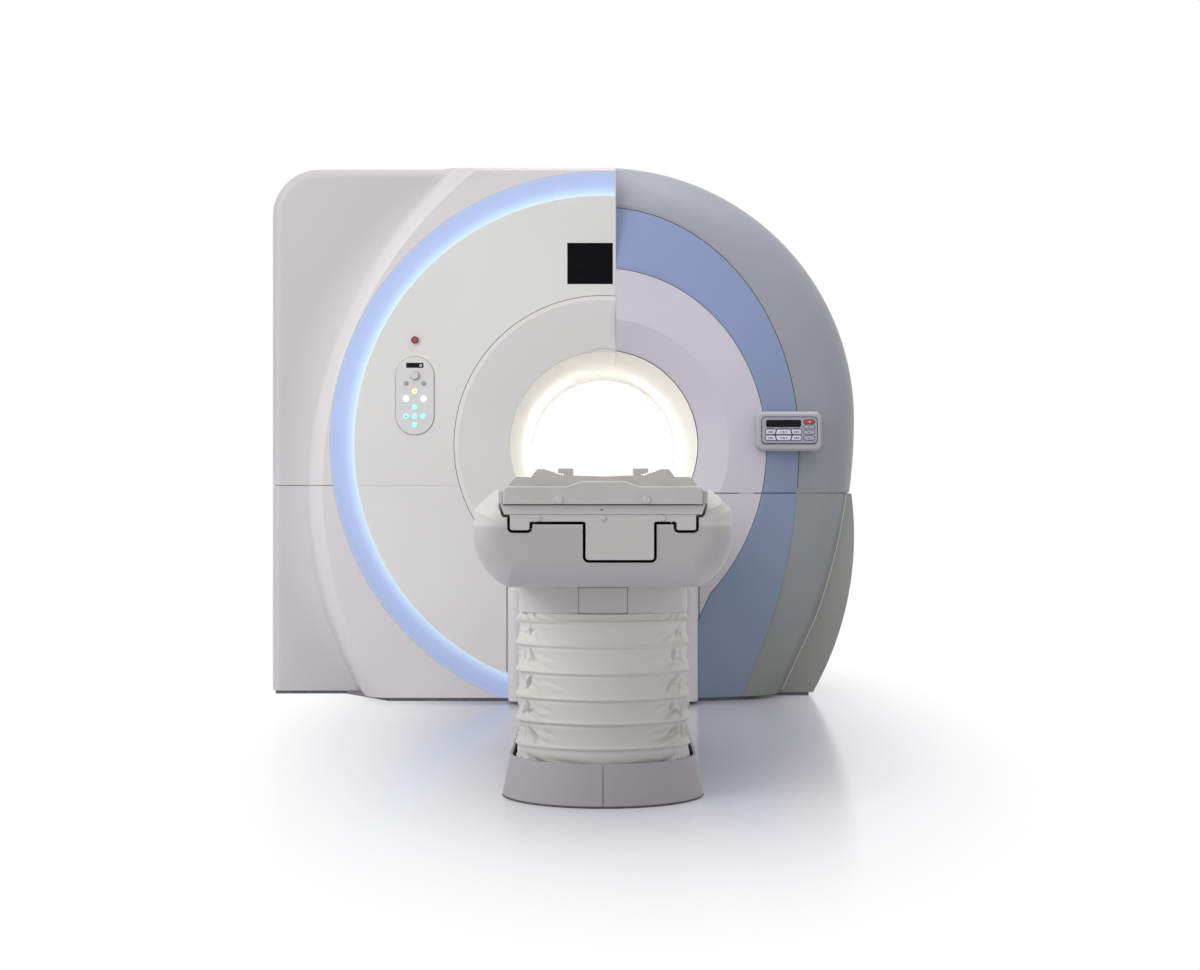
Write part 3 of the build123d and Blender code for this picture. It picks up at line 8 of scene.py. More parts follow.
import bpy
import numpy as np
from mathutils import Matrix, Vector


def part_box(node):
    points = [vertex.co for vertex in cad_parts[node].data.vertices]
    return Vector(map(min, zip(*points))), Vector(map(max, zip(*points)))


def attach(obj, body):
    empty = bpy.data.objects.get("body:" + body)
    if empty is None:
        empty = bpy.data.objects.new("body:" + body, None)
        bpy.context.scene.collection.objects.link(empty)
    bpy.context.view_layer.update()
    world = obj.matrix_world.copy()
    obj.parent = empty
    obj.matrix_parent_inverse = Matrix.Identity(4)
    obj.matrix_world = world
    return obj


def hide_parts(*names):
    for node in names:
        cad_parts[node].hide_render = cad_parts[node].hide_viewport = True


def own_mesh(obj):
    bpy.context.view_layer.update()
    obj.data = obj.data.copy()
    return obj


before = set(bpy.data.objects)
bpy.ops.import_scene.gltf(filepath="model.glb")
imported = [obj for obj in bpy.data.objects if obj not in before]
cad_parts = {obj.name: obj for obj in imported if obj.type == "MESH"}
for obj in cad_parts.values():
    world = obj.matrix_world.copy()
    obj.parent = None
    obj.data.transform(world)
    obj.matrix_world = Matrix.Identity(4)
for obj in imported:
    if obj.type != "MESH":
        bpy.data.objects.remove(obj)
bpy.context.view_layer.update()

# Steel base plate and the couch's floor plate: hot-rolled steel, sprayed with a dark two-part
# floor enamel that dries with a fine mottle.


class Map:
    """A socket whose value changes over the surface. Sums on it add their Math nodes."""

    def __init__(self, finish, socket):
        self.finish = finish
        self.socket = socket

    def maths(self, operation, *values):
        return self.finish.node("Math", {"operation": operation}, dict(enumerate(values)))

    def __add__(self, other):
        return self.maths("ADD", self, other)

    def __radd__(self, other):
        return self.maths("ADD", other, self)

    def __sub__(self, other):
        return self.maths("SUBTRACT", self, other)

    def __rsub__(self, other):
        return self.maths("SUBTRACT", other, self)

    def __mul__(self, other):
        return self.maths("MULTIPLY", self, other)

    def __rmul__(self, other):
        return self.maths("MULTIPLY", other, self)

    def __truediv__(self, other):
        return self.maths("DIVIDE", self, other)

    def __pow__(self, other):
        return self.maths("POWER", self, other)

    def step(self, start, end):
        """0 below start, 1 above end and smooth between them; start may be the larger."""
        settings = {"interpolation_type": "SMOOTHSTEP"}
        sockets = {0: self, 1: min(start, end), 2: max(start, end)}
        rise = self.finish.node("MapRange", settings, sockets)
        return rise if start < end else 1 - rise


class Finish:
    """A paint, plastic, metal or cloth: its material, the nodes in it and its surface shader.

    Its slot is the material slot of the record that it finishes.
    """

    def __init__(self, name, slot, roughness=0.5, metallic=0.0, coat=0.0):
        self.material = bpy.data.materials.new(name)
        self.material.use_nodes = True
        self.tree = self.material.node_tree
        self.shader = self.tree.nodes["Principled BSDF"]
        self.slot = slot
        self.set("Roughness", roughness)
        self.set("Metallic", metallic)
        self.set("Coat Weight", coat)
        self.shader.inputs["Coat Roughness"].default_value = 0.12
        self.place = self.node("TexCoord", {}, {}, "Object")

    def node(self, kind, settings, sockets, output=0):
        """Adds a node, first its settings, then the values or links of its sockets."""
        made = self.tree.nodes.new("ShaderNode" + kind)
        for key, value in settings.items():
            if key == "stops":
                ramp = made.color_ramp.elements
                while len(ramp) < len(value):
                    ramp.new(0.5)
                for stop, (where, colour) in zip(ramp, value):
                    stop.position = where
                    stop.color = (*colour, 1)
            else:
                setattr(made, key, value)
        for key, value in sockets.items():
            if isinstance(value, Map):
                self.tree.links.new(value.socket, made.inputs[key])
            else:
                made.inputs[key].default_value = value
        return Map(self, made.outputs[output])

    def set(self, name, value):
        """Gives an input of the shader its value or its map."""
        if isinstance(value, Map):
            self.tree.links.new(value.socket, self.shader.inputs[name])
        else:
            self.shader.inputs[name].default_value = value

    def along(self, axis):
        """Distance along X, Y or Z in metres, on the object."""
        return self.node("SeparateXYZ", {}, {0: self.place}, axis)

    def cloud(self, scale, detail=2.0, stretch=(1, 1, 1)):
        """Soft noise about 0.5; scale is its patches per metre."""
        where = self.node("Mapping", {}, {"Vector": self.place, "Scale": stretch})
        return self.node("TexNoise", {}, {"Vector": where, "Scale": scale, "Detail": detail})

    def mix(self, factor, first, second):
        """Colour that goes from first to second with factor."""
        a = first if isinstance(first, Map) else (*first, 1)
        b = second if isinstance(second, Map) else (*second, 1)
        return self.node("Mix", {"data_type": "RGBA"}, {0: factor, 6: a, 7: b}, 2)

    def tint(self, factor, first, second):
        """Base colour that goes from first to second with factor."""
        self.set("Base Color", self.mix(factor, first, second))

    def relief(self, height, depth):
        """Bump of the given depth in metres, from a height map of 0 to 1."""
        self.set("Normal", self.node("Bump", {}, {"Height": height, "Distance": depth}))

    def worn_by(self, *names):
        """The CAD pieces of these names take this finish."""
        for name in names:
            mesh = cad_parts[name].data
            mesh.materials.clear()
            mesh.materials.append(self.material)


enamel = Finish("floor_enamel", "steel_plate", roughness=0.55)
mottle = enamel.cloud(60, 4)
enamel.tint(mottle.step(0.3, 0.7), (0.15, 0.155, 0.17), (0.22, 0.225, 0.24))
enamel.set("Roughness", 0.45 + 0.25 * mottle)
enamel.relief(enamel.cloud(900, 2), 0.0003)
enamel.worn_by("base_plate", "couch_frame")

# Magnet behind the covers: a welded stainless cryostat, brushed round its barrel, with its cold
# head on top, and the resin-cast coils inside it, wound in glass cloth.

vessel_steel = Finish("brushed_vessel", "vessel_steel", metallic=1.0)
brushing = vessel_steel.cloud(220, 3, (1, 0.03, 1))
vessel_steel.tint(brushing, (0.50, 0.51, 0.52), (0.64, 0.65, 0.66))
vessel_steel.set("Roughness", 0.28 + 0.2 * brushing)
vessel_steel.relief(brushing, 0.0002)
vessel_steel.worn_by("magnet_vessel", "cold_head")

resin = Finish("cast_resin", "coil_resin", roughness=0.5)
glass_cloth = resin.along("Y") * 400
weave = glass_cloth.maths("SINE", glass_cloth) * 0.5 + 0.5
resin.tint(weave * resin.cloud(30), (0.30, 0.25, 0.14), (0.42, 0.37, 0.23))
resin.relief(weave, 0.0004)
resin.worn_by("gradient_coil", "rf_body_coil")

frame_metal = Finish("folded_sheet", "aluminium_frame", metallic=1.0)
grain = frame_metal.cloud(300, 2, (1, 1, 0.05))
frame_metal.tint(grain, (0.58, 0.59, 0.60), (0.70, 0.71, 0.72))
frame_metal.set("Roughness", 0.35 + 0.2 * grain)
frame_metal.worn_by("front_frame")

# Covers of the gantry: vacuum-formed and moulded shells, sprayed with a satin paint whose fine
# orange peel shows close up. Hands and cleaning leave the gloss slightly uneven. Towards its foot
# each shell's colour turns lighter or darker: painted light and shade by height.

AXIS_H = 1.074  # height of the bore's axis


def shade(colour, share):
    """The same colour, lighter or darker by a share."""
    return tuple(min(1.0, part * share) for part in colour)


def sprayed(name, slot, colour, low=None, top=1.6, gloss=0.42, halo=1.0):
    """Satin paint whose tone drifts slowly, from low at the floor to colour at the height top.

    Round the light ring, on the front, it is lighter by the share halo: painted light. That fades
    back within 0.3 m, or 0.4 m near the floor.
    """
    paint = Finish(name, slot)
    drift = paint.cloud(1.3, 3).step(0.35, 0.65)
    low = low or shade(colour, 0.93)
    even = paint.mix(drift, shade(colour, 0.975), shade(colour, 1.02))
    painted_foot_tone = paint.mix(drift, shade(low, 0.975), shade(low, 1.02))
    # Towards the floor the colour goes to low: painted light and shade by height.
    tone = paint.mix(paint.along("Z").step(0.0, top), painted_foot_tone, even)
    if halo != 1.0:
        away = (paint.along("X") ** 2 + (paint.along("Z") - AXIS_H) ** 2) ** 0.5
        away = away - 0.13 * paint.along("Z").step(1.3, 0.2)
        # Painted light on the covers round the light ring.
        painted_ring_light = away.step(1.42, 1.18) * paint.along("Y").step(-0.5, -0.6)
        tone = paint.mix(painted_ring_light, tone, shade(colour, halo))
    speck = paint.cloud(1400, 1).step(0.66, 0.74) * 0.12
    paint.tone = paint.mix(speck, tone, shade(colour, 0.8))
    paint.set("Base Color", paint.tone)
    paint.set("Roughness", gloss - 0.05 + 0.1 * paint.cloud(9, 4))
    paint.relief(paint.cloud(420, 2), 0.00025)
    return paint


# The second colour of a paint, where it is given, is its tone at the floor: painted light and
# shade.
pale_top, pale_foot = (0.492, 0.470, 0.468), (0.548, 0.524, 0.530)
flank_paint = sprayed("flank_paint", "cover_pale", pale_top, pale_foot, halo=1.29)
flank_paint.worn_by("left_cover_upper", "left_cover_lower", "side_cover_left")
flank_paint.worn_by("rear_cover_left", "middle_rib")
face_paint = sprayed("face_paint", "cover_white", (0.668, 0.662, 0.636), (0.705, 0.690, 0.664))
face_paint.worn_by("front_disc_upper", "front_disc_lower")
funnel_paint = sprayed("funnel_paint", "cover_white", (0.700, 0.688, 0.660), (0.715, 0.700, 0.674))
funnel_paint.worn_by("funnel_left")
lilac_paint = sprayed("lilac_paint", "face_lilac", (0.590, 0.568, 0.630), (0.555, 0.530, 0.545))
lilac_paint.worn_by("right_face_upper", "right_face_lower")
grey_top, grey_foot = (0.315, 0.320, 0.372), (0.245, 0.250, 0.236)
shoulder_paint = sprayed("shoulder_paint", "shoulder_grey", grey_top, grey_foot, 2.1)
shoulder_paint.worn_by("shoulder_upper", "shoulder_lower", "side_cover_right_upper")
shoulder_paint.worn_by("rear_cover_right")
green_paint = sprayed("green_paint", "side_green", (0.325, 0.340, 0.308), (0.290, 0.294, 0.268))
green_paint.worn_by("side_cover_right_lower")
blue_paint = sprayed("blue_paint", "band_blue", (0.240, 0.296, 0.482), (0.198, 0.252, 0.336), 1.9)
blue_paint.worn_by("band_upper", "band_lower")
dock_paint = sprayed("dock_paint", "cover_pale", (0.680, 0.655, 0.650))
dock_paint.worn_by("docking_housing")

# Joints of the covers: black strips in the gaps round the funnel, the face, the blue band and the
# docking housing, as painted shade of those gaps, and a pale strip along the front edge of the
# lower side cover, as a painted highlight.

FACE = -0.850  # front of the covers round the bore
BAND_BACK = -0.800  # where the blue band ends, towards the shoulder
SIDE_FRONT = -0.660  # front edge of the lower side cover
SPLIT_X = 0.056  # just right of the joint between the two cover sets


def make_piece(name, grids, finish, body="gantry", loop=False):
    """Mesh on grids of points, rows first, each row a ring and each grid a closed shell.

    The rows close into a ring too when loop is true. Otherwise a point in the middle of the first
    and of the last row closes the two ends.
    """
    vertices, faces, base = [], [], 0
    for points in grids:
        rows, columns = points.shape[:2]
        low = base + np.arange(rows * columns).reshape(rows, columns)
        high = np.roll(low, -1, 0) if loop else low[1:]
        last = low[-1]
        low = low if loop else low[:-1]
        quads = np.stack([low, np.roll(low, -1, 1), np.roll(high, -1, 1), high], -1)
        faces += quads.reshape(-1, 4).tolist()
        vertices.append(points.reshape(-1, 3))
        base += rows * columns
        if not loop:
            vertices.append(points[[0, -1]].mean(1))
            faces += np.stack([np.roll(low[0], -1), low[0], np.full(columns, base)], 1).tolist()
            faces += np.stack([last, np.roll(last, -1), np.full(columns, base + 1)], 1).tolist()
            base += 2
    mesh = bpy.data.meshes.new(name)
    mesh.from_pydata(np.concatenate(vertices), [], faces)
    mesh.polygons.foreach_set("use_smooth", np.ones(len(faces), bool))
    mesh.materials.append(finish.material)
    made = bpy.data.objects.new(name, mesh)
    bpy.context.scene.collection.objects.link(made)
    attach(made, body)
    return made


def strip(name, x, z, y, radius, finish, body="gantry", loop=False):
    """Round strip along a line in the upright plane at y: its path plus a circle across it."""
    path = np.stack([x, np.full(len(x), y), z], 1)
    if loop:
        ahead = np.roll(path, -1, 0) - np.roll(path, 1, 0)
    else:
        ahead = np.gradient(path, axis=0)
    ahead /= np.linalg.norm(ahead, axis=1)[:, None]
    side = np.cross((0, -1, 0), ahead)
    angle = np.linspace(0, 2 * math.pi, 8, endpoint=False)[None, :, None]
    out = np.array([0, -1, 0])[None, None]
    ring = np.cos(angle) * side[:, None] + np.sin(angle) * out
    return make_piece(name, [path[:, None] + radius * ring], finish, body, loop)


def arc(radius, start, end, count=240, centre=(0, AXIS_H)):
    """Points of a circle in X and Z, from one angle to another, in degrees from the right."""
    angle = np.radians(np.linspace(start, end, count))
    return centre[0] + radius * np.cos(angle), centre[1] + radius * np.sin(angle)


def arch_line(half, top, middle, knee, foot, lowest=0.0, highest=9.0):
    """Right side of an arch: a quarter ellipse, then an arc to the knee and a line to the floor.

    The arc's circle is upright where it leaves the ellipse and goes through the knee. Only the
    points right of the split and between the two heights are kept.
    """
    angle = np.linspace(math.pi / 2, 0, 200)
    x, z = half * np.cos(angle), middle + top * np.sin(angle)
    drop = middle - knee[1]
    radius = ((half - knee[0]) ** 2 + drop**2) / (2 * (half - knee[0]))
    low = np.linspace(0, math.asin(drop / radius), 80)[1:]
    last_x, last_z = (np.linspace(knee[k], foot[k], 12)[1:] for k in (0, 1))
    x = np.concatenate([x, half - radius * (1 - np.cos(low)), last_x])
    z = np.concatenate([z, middle - radius * np.sin(low), last_z])
    keep = (x > SPLIT_X) & (z > lowest) & (z < highest)
    return x[keep], z[keep]


gap_shade = Finish("joint_painted_shade", "key_rubber", roughness=0.8)
cells = gap_shade.cloud(900, 3)
gap_shade.tint(cells, (0.035, 0.033, 0.036), (0.075, 0.070, 0.075))
gap_shade.relief(cells, 0.0002)
edge_highlight = Finish("edge_painted_highlight", "side_green", roughness=0.4)
edge_highlight.tint(edge_highlight.cloud(30, 2), (0.70, 0.70, 0.69), (0.80, 0.80, 0.79))

# Each arch is its half width, top radius and height of the middle, then its knee and its foot.
# Black strips in the gaps: painted shade.
strip("funnel_joint", *arc(0.6232, 85, 275, 400), FACE + 0.0012, 0.0014, gap_shade)
face_edge = arch_line(0.683, 0.757, 1.055, (0.450, 0.454), (0.389, 0.325))
strip("face_joint", *face_edge, FACE + 0.0008, 0.0017, gap_shade)
band_edge = arch_line(0.825, 1.002, 1.073, (0.729273, 0.400), (0.588, 0.030), lowest=0.8875)
strip("band_joint", *band_edge, BAND_BACK + 0.0006, 0.0017, gap_shade)
side_edge = arch_line(1.0645, 1.0, 1.176, (0.906, 0.320), (0.7662, 0.020), highest=0.868)
# Pale strip along the lower side cover's front edge: painted highlight.
strip("side_joint", *side_edge, SIDE_FRONT - 0.0002, 0.0019, edge_highlight)
strip("lip_joint", *arc(0.3987, 81.5, -81.5, 300), BAND_BACK - 0.0004, 0.0012, gap_shade)
for side, foot in ((-1, 0.125), (1, 0.345)):
    up = np.linspace(foot, 0.680, 12)
    strip(f"dock_joint_{side + 2}", np.full(12, side * 0.4015), up, FACE, 0.0019, gap_shade)

# End plate at the rear of the pale cover set: a flat sheet glued into its open edge, where it
# stands above the rounded cover beside it. Four outlines one behind the other, the last two drawn
# in towards their middle, give it an eased rim.

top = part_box("rear_cover_left")[1][2]
drawn_in = np.array([1, 1, 0.997, 0.97])[:, None]
end_x = np.array([0.0470, 0.0524, 0.0528, 0.0528])[:, None]
end_y = np.array([0.8412, 0.8412, 0.8320, 0.6600])
end_z = np.array([1.9500, top - 0.0660, top - 0.0570, top - 0.0225])
end_y = end_y.mean() + (end_y - end_y.mean()) * drawn_in
end_z = end_z.mean() + (end_z - end_z.mean()) * drawn_in
end_plate = np.stack([end_x + 0 * end_y, end_y, end_z], -1)
make_piece("rear_end_plate", [end_plate], flank_paint)

# Light ring: frosted acrylic in front of a row of lamps at its inner edge, so it glows nearly
# white there and falls to a deep blue towards its outer edge.

RING_IN = 1.041  # inner radius
RING_WIDTH = 0.1
RING_TONES = [  # share of the width from the inner edge, and the colour there
    (0.00, (0.66, 0.88, 1.00)),
    (0.12, (0.55, 0.72, 0.98)),
    (0.40, (0.395, 0.500, 0.800)),
    (0.80, (0.355, 0.435, 0.690)),
    (1.00, (0.400, 0.470, 0.665)),
]
acrylic = Finish("frosted_acrylic", "light_acrylic", roughness=0.3, coat=0.2)
across = acrylic.along("X")
upward = acrylic.along("Z") - AXIS_H
ring_place = ((across**2 + upward**2) ** 0.5 - RING_IN) / RING_WIDTH
glow = acrylic.node("ValToRGB", {"stops": RING_TONES}, {0: ring_place})
power = upward.step(-1.1, 0.4) * 0.2 + 0.8 + (acrylic.cloud(5, 2) - 0.5) * 0.06
acrylic.set("Base Color", (0.10, 0.12, 0.18, 1))
acrylic.set("Emission Color", acrylic.mix(power, (0, 0, 0), glow))
acrylic.set("Emission Strength", 0.92)
acrylic.relief(acrylic.cloud(700, 2), 0.0002)
acrylic.worn_by("light_ring")

# Bore: a gel-coated glass-fibre liner with flared lips, polished so that it wipes clean. The
# table's bed through it is the same resin as the tabletop.

gelcoat = Finish("gel_coat", "lip_cream", roughness=0.4, coat=0.1)
wipe = gelcoat.cloud(6, 3, (1, 0.3, 1))
gelcoat.tint(wipe, (0.79, 0.77, 0.72), (0.84, 0.82, 0.77))
gelcoat.set("Roughness", 0.36 + 0.12 * wipe)
gelcoat.relief(gelcoat.cloud(150, 2), 0.00008)
gelcoat.worn_by("bore_liner", "bore_lip_left", "bore_lip_right", "rear_bore_ring")

# Status display: a dark panel behind a hard-coated window with polished edges, clipped into the
# front disc from behind.

window = Finish("dark_window", "screen_black", roughness=0.12)
smear = window.cloud(25, 3)
window.tint(smear, (0.003, 0.0025, 0.003), (0.006, 0.005, 0.006))
window.set("Roughness", 0.08 + 0.12 * smear)
window.set("Specular IOR Level", 0.04)
window.worn_by("status_display")

# Control panel: a capsule moulded in grey plastic and set into the disc with a rubber seal. It
# has a small dark readout, a knob and translucent caps lit from behind, and the emergency button
# sits above it in its collar.

PANEL_X, PANEL_Z = -0.786, 1.278  # middle of the capsule
CAP_FRONT = -0.8590  # front of the button caps
capsule = Finish("panel_moulding", "panel_grey", roughness=0.4)
capsule.tint(capsule.cloud(40, 3), (0.62, 0.61, 0.59), (0.66, 0.65, 0.63))
capsule.relief(capsule.cloud(900, 2), 0.00015)
capsule.worn_by("button_panel")


def capsule_line(half_width, half_height, x, z):
    """Closed outline of a capsule: two half circles joined by straight sides."""
    bow = np.radians(np.linspace(0, 180, 60))
    cap = half_height - half_width
    across = np.concatenate([half_width * np.cos(bow), -half_width * np.cos(bow)])
    up = np.concatenate([cap + half_width * np.sin(bow), -cap - half_width * np.sin(bow)])
    return x + across, z + up


rubber = Finish("capsule_seal", "key_rubber", roughness=0.6)
dust = rubber.cloud(700, 2)
rubber.tint(dust, (0.17, 0.145, 0.135), (0.24, 0.21, 0.20))
rubber.relief(dust, 0.0001)
seal = capsule_line(0.0805, 0.1640, PANEL_X, PANEL_Z)
strip("capsule_joint", *seal, FACE, 0.0011, rubber, loop=True)


def round_the(node, wider):
    """Circle round a round node, wider than it all round."""
    low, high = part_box(node)
    middle = ((low[0] + high[0]) / 2, (low[2] + high[2]) / 2)
    return arc((high[0] - low[0]) / 2 + wider, 0, 355, 72, middle)


knob_foot = round_the("mode_knob", 0.0012)
strip("knob_groove", *knob_foot, FACE - 0.0052, 0.0009, rubber, loop=True)


def lit_cap(name, slot, colour, glow, strength):
    """Translucent button cap with a faint grain, lit from behind."""
    cap = Finish(name, slot, roughness=0.3, coat=0.3)
    grain = cap.cloud(400, 2)
    cap.tint(grain, shade(colour, 0.9), colour)
    cap.set("Emission Color", cap.mix(grain, shade(glow, 0.9), glow))
    cap.set("Emission Strength", strength)
    return cap


teal_cap = lit_cap("teal_cap", "button_teal", (0.30, 0.62, 0.72), (0.42, 0.88, 1.0), 0.62)
teal_cap.worn_by("teal_button_top", "teal_button_left", "teal_button_middle")
teal_cap.worn_by("teal_button_right", "teal_button_bottom")
white_cap = lit_cap("white_cap", "button_white", (0.9, 0.9, 0.9), (1.0, 1.0, 0.98), 0.6)
white_cap.worn_by("white_button_left", "white_button_right")
amber_cap = lit_cap("amber_cap", "button_amber", (0.85, 0.74, 0.55), (1.0, 0.78, 0.46), 0.45)
amber_cap.worn_by("amber_button")

grey_plastic = Finish("grey_cap", "button_grey", roughness=0.45)
fine = grey_plastic.cloud(600, 3)
grey_plastic.tint(fine, (0.27, 0.27, 0.28), (0.36, 0.36, 0.37))
grey_plastic.relief(fine, 0.0001)
grey_plastic.worn_by("grey_button_left", "grey_button_right")

knob_plastic = Finish("knob_plastic", "button_grey", roughness=0.35)
turned = knob_plastic.cloud(700, 2)
knob_plastic.tint(turned, (0.56, 0.55, 0.53), (0.64, 0.63, 0.61))
knob_plastic.relief(turned, 0.0001)
knob_plastic.worn_by("mode_knob")

red_plastic = Finish("stop_red", "button_red", roughness=0.25, coat=0.4)
dye = red_plastic.cloud(200, 3)
red_plastic.tint(dye, (0.36, 0.03, 0.05), (0.48, 0.05, 0.08))
red_plastic.worn_by("emergency_button")
collar = Finish("stop_collar", "button_red", roughness=0.35)
chafe = collar.cloud(300, 3)
collar.tint(chafe, (0.060, 0.014, 0.022), (0.105, 0.026, 0.036))
stop_ring = round_the("emergency_button", -0.0026)
strip("emergency_collar", *stop_ring, -0.8610, 0.0024, collar, "emergency_body", loop=True)


def pad(left, right, low, high, corner, front, back, edge=0.0, taper=0.0, lean=0.0, turns=6):
    """Grid of a raised pad: rounded rectangles from back to front, with a quarter-round rim.

    Its sides lean with the height: x goes to x times 1 + taper, plus lean, at the top, and the
    other way at the bottom.
    """
    turn = np.radians(np.linspace(0, 90, turns))
    inset = np.concatenate([[0], edge * (1 - np.cos(turn))])[:, None]
    depth = np.concatenate([[back], front + edge * (1 - np.sin(turn))])[:, None]
    half_x, half_z = (right - left) / 2, (high - low) / 2
    across = [side * (half_x - corner) for side in (1, -1, -1, 1)]
    up = [side * (half_z - corner) for side in (1, 1, -1, -1)]
    x = np.concatenate([across[k] + corner * np.cos(turn + k * math.pi / 2) for k in range(4)])
    z = np.concatenate([up[k] + corner * np.sin(turn + k * math.pi / 2) for k in range(4)])
    x, z = x * (1 - inset / half_x), z * (1 - inset / half_z)
    share = z / half_z
    x = x * (1 + taper * share) + lean * share
    return np.stack([x + (left + right) / 2, depth + 0 * x, z + (low + high) / 2], -1)


def small_print(name, slot, colour, light=0.0):
    """Ink or resin of a small mark, with a faint grain, lit from behind where light isn't 0."""
    ink = Finish(name, slot, roughness=0.45)
    tone = ink.mix(ink.cloud(900, 2), shade(colour, 0.85), shade(colour, 1.1))
    ink.set("Base Color", tone)
    ink.set("Emission Color", tone)
    ink.set("Emission Strength", light)
    return ink


def cap_sign(name, node, half_x, half_z, corner, ink, place=None, proud=0.0003, edge=0.0002):
    """Mark printed on the middle of a cap, or at place, that rides on the cap."""
    low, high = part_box(node)
    x, z = place or ((low[0] + high[0]) / 2, (low[2] + high[2]) / 2)
    edges = (x - half_x, x + half_x, z - half_z, z + half_z)
    sign = pad(*edges, corner, CAP_FRONT - proud, CAP_FRONT + 0.0005, edge)
    make_piece(name, [sign], ink, node + "_body")


teal_ink = small_print("teal_ink", "button_teal", (0.10, 0.34, 0.44))
cap_sign("teal_sign_left", "teal_button_left", 0.0037, 0.0037, 0.0034, teal_ink, (-0.8225, 1.192))
cap_sign("teal_sign_middle", "teal_button_middle", 0.0040, 0.0011, 0.0009, teal_ink)
grey_ink = small_print("grey_ink", "button_grey", (0.42, 0.42, 0.42))
cap_sign("white_sign_right", "white_button_right", 0.0030, 0.0014, 0.0012, grey_ink)
orange = small_print("orange_ink", "button_amber", (0.95, 0.50, 0.12), 0.3)
amber_place = (PANEL_X, 1.296)
cap_sign("amber_sign", "amber_button", 0.0033, 0.0033, 0.0032, orange, amber_place, 0.0005, 0.0003)

black = Finish("readout_window", "screen_black", roughness=0.2)
black.tint(black.cloud(40, 2), (0.004, 0.005, 0.006), (0.010, 0.011, 0.013))
black.set("Specular IOR Level", 0.1)
glass = pad(-0.8220, -0.7500, 1.3945, 1.4155, 0.0015, FACE - 0.0055, FACE - 0.0040, 0.0003)
make_piece("panel_readout", [glass], black)
pale_light = small_print("pale_light", "button_white", (0.85, 0.87, 0.88), 0.5)
lit_ring = arc(0.0042, 0, 352.5, 48, (-0.7610, 1.4048))
strip("readout_ring", *lit_ring, FACE - 0.0056, 0.0009, pale_light, loop=True)

# Keypad: a moulded housing on the shoulder with one rubber key mat, whose keys are printed pale
# and red, and a dark readout along its top.

keypad_paint = sprayed("keypad_paint", "keypad_shell", (0.42, 0.415, 0.44), gloss=0.35)
keypad_paint.worn_by("keypad_housing")

MAT_FRONT = -0.9056
MAT_BACK = -0.9040  # the pads are sunk into the mat down to here
FIELD = (0.6575, 0.8885, 1.0775, 1.1875, 0.016, MAT_FRONT, -0.902)  # edges, corner and depth
mat = Finish("key_mat_rubber", "key_rubber", roughness=0.5)
mat.tint(mat.cloud(300, 3), (0.325, 0.315, 0.390), (0.385, 0.375, 0.450))
mat.relief(mat.cloud(800, 2), 0.0001)
field_piece = make_piece("key_field", [pad(*FIELD, 0.0005)], mat)
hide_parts("key_mat")

shadow = Finish("key_shadow", "key_rubber", roughness=0.6)
shadow_grain = shadow.cloud(900, 2)
shadow.tint(shadow_grain, (0.014, 0.013, 0.018), (0.030, 0.029, 0.038))
# Dark strip round the key field: painted shadow at its rim.
field_rim = pad(*FIELD, turns=12)[0]
strip("field_rim_shadow", field_rim[:, 0], field_rim[:, 2], -0.9054, 0.0015, shadow, loop=True)


def raised(left, right, low, high, corner, proud, edge=0.0003, **lean):
    """Pad that stands proud of the mat by a height."""
    return pad(left, right, low, high, corner, MAT_FRONT - proud, MAT_BACK, edge, **lean)


def ink_bar(x, z, half_x, half_z, corner, proud):
    """Printed bar round a point, on a key that stands proud of the mat by a height."""
    edges = (x - half_x, x + half_x, z - half_z, z + half_z)
    return pad(*edges, corner, MAT_FRONT - proud, MAT_FRONT, 0.0002)


KEY_ROWS = ((1.116, 1), (1.091, -1))  # foot of each row, and which way its outer keys lean
KEY_COLUMNS = ((0.6760, 0.7145, 1), (0.7195, 0.7785, 0), (0.7835, 0.8215, -1))
OVALS = ((1.158, 1.175), (1.139, 1.152), (1.116, 1.131), (1.091, 1.108))  # foot and top of each
OVAL_LEFT, OVAL_RIGHT = 0.833, 0.877
# Dark beds a little wider than the keys and the readout: painted shadow of the raised keys.
shadow_beds = [
    raised(0.6735, 0.8240, foot - 0.0026, foot + 0.0216, 0.005, 0.0004) for foot, way in KEY_ROWS
]
for low, high in OVALS:
    edges = (OVAL_LEFT - 0.0022, OVAL_RIGHT + 0.0022, low - 0.0021, high + 0.0021)
    shadow_beds.append(raised(*edges, (high - low) / 2 + 0.0015, 0.0004))
shadow_beds.append(raised(0.6760, 0.8220, 1.1445, 1.1755, 0.006, 0.0004))
make_piece("key_shadow_beds", shadow_beds, shadow)
make_piece("key_readout", [raised(0.6780, 0.8200, 1.1460, 1.1740, 0.005, 0.0009, 0.0004)], black)

ivory = Finish("key_ivory", "button_white", roughness=0.4)
ivory_grain = ivory.cloud(500, 2)
ivory.tint(ivory_grain, (0.62, 0.61, 0.67), (0.70, 0.69, 0.74))
ivory.relief(ivory_grain, 0.0001)
keys, marks = [], []
for foot, way in KEY_ROWS:
    for left, right, side in KEY_COLUMNS:
        half = (right - left) / 2
        taper = way * (0.0017 if side else -0.0032) / half
        slant = {"taper": taper, "lean": side * half * taper}
        keys.append(raised(left, right, foot, foot + 0.019, 0.003, 0.0022, 0.0009, **slant))
        pitch = 0.0080 if side else 0.0112
        for step, half_x in ((-pitch, 0.0024), (0.0, 0.0042), (pitch, 0.0024)):
            x = (left + right) / 2 + step
            marks.append(ink_bar(x, foot + 0.0088, half_x, 0.0028, 0.0016, 0.0024))
for left, right, side in KEY_COLUMNS:
    edges = (left + 0.004, right - 0.004, 1.1384, 1.1406)
    marks.append(raised(*edges, 0.0008, 0.0002, 0.0001))
make_piece("white_keys", keys, ivory)
make_piece("key_marks", marks, shadow)

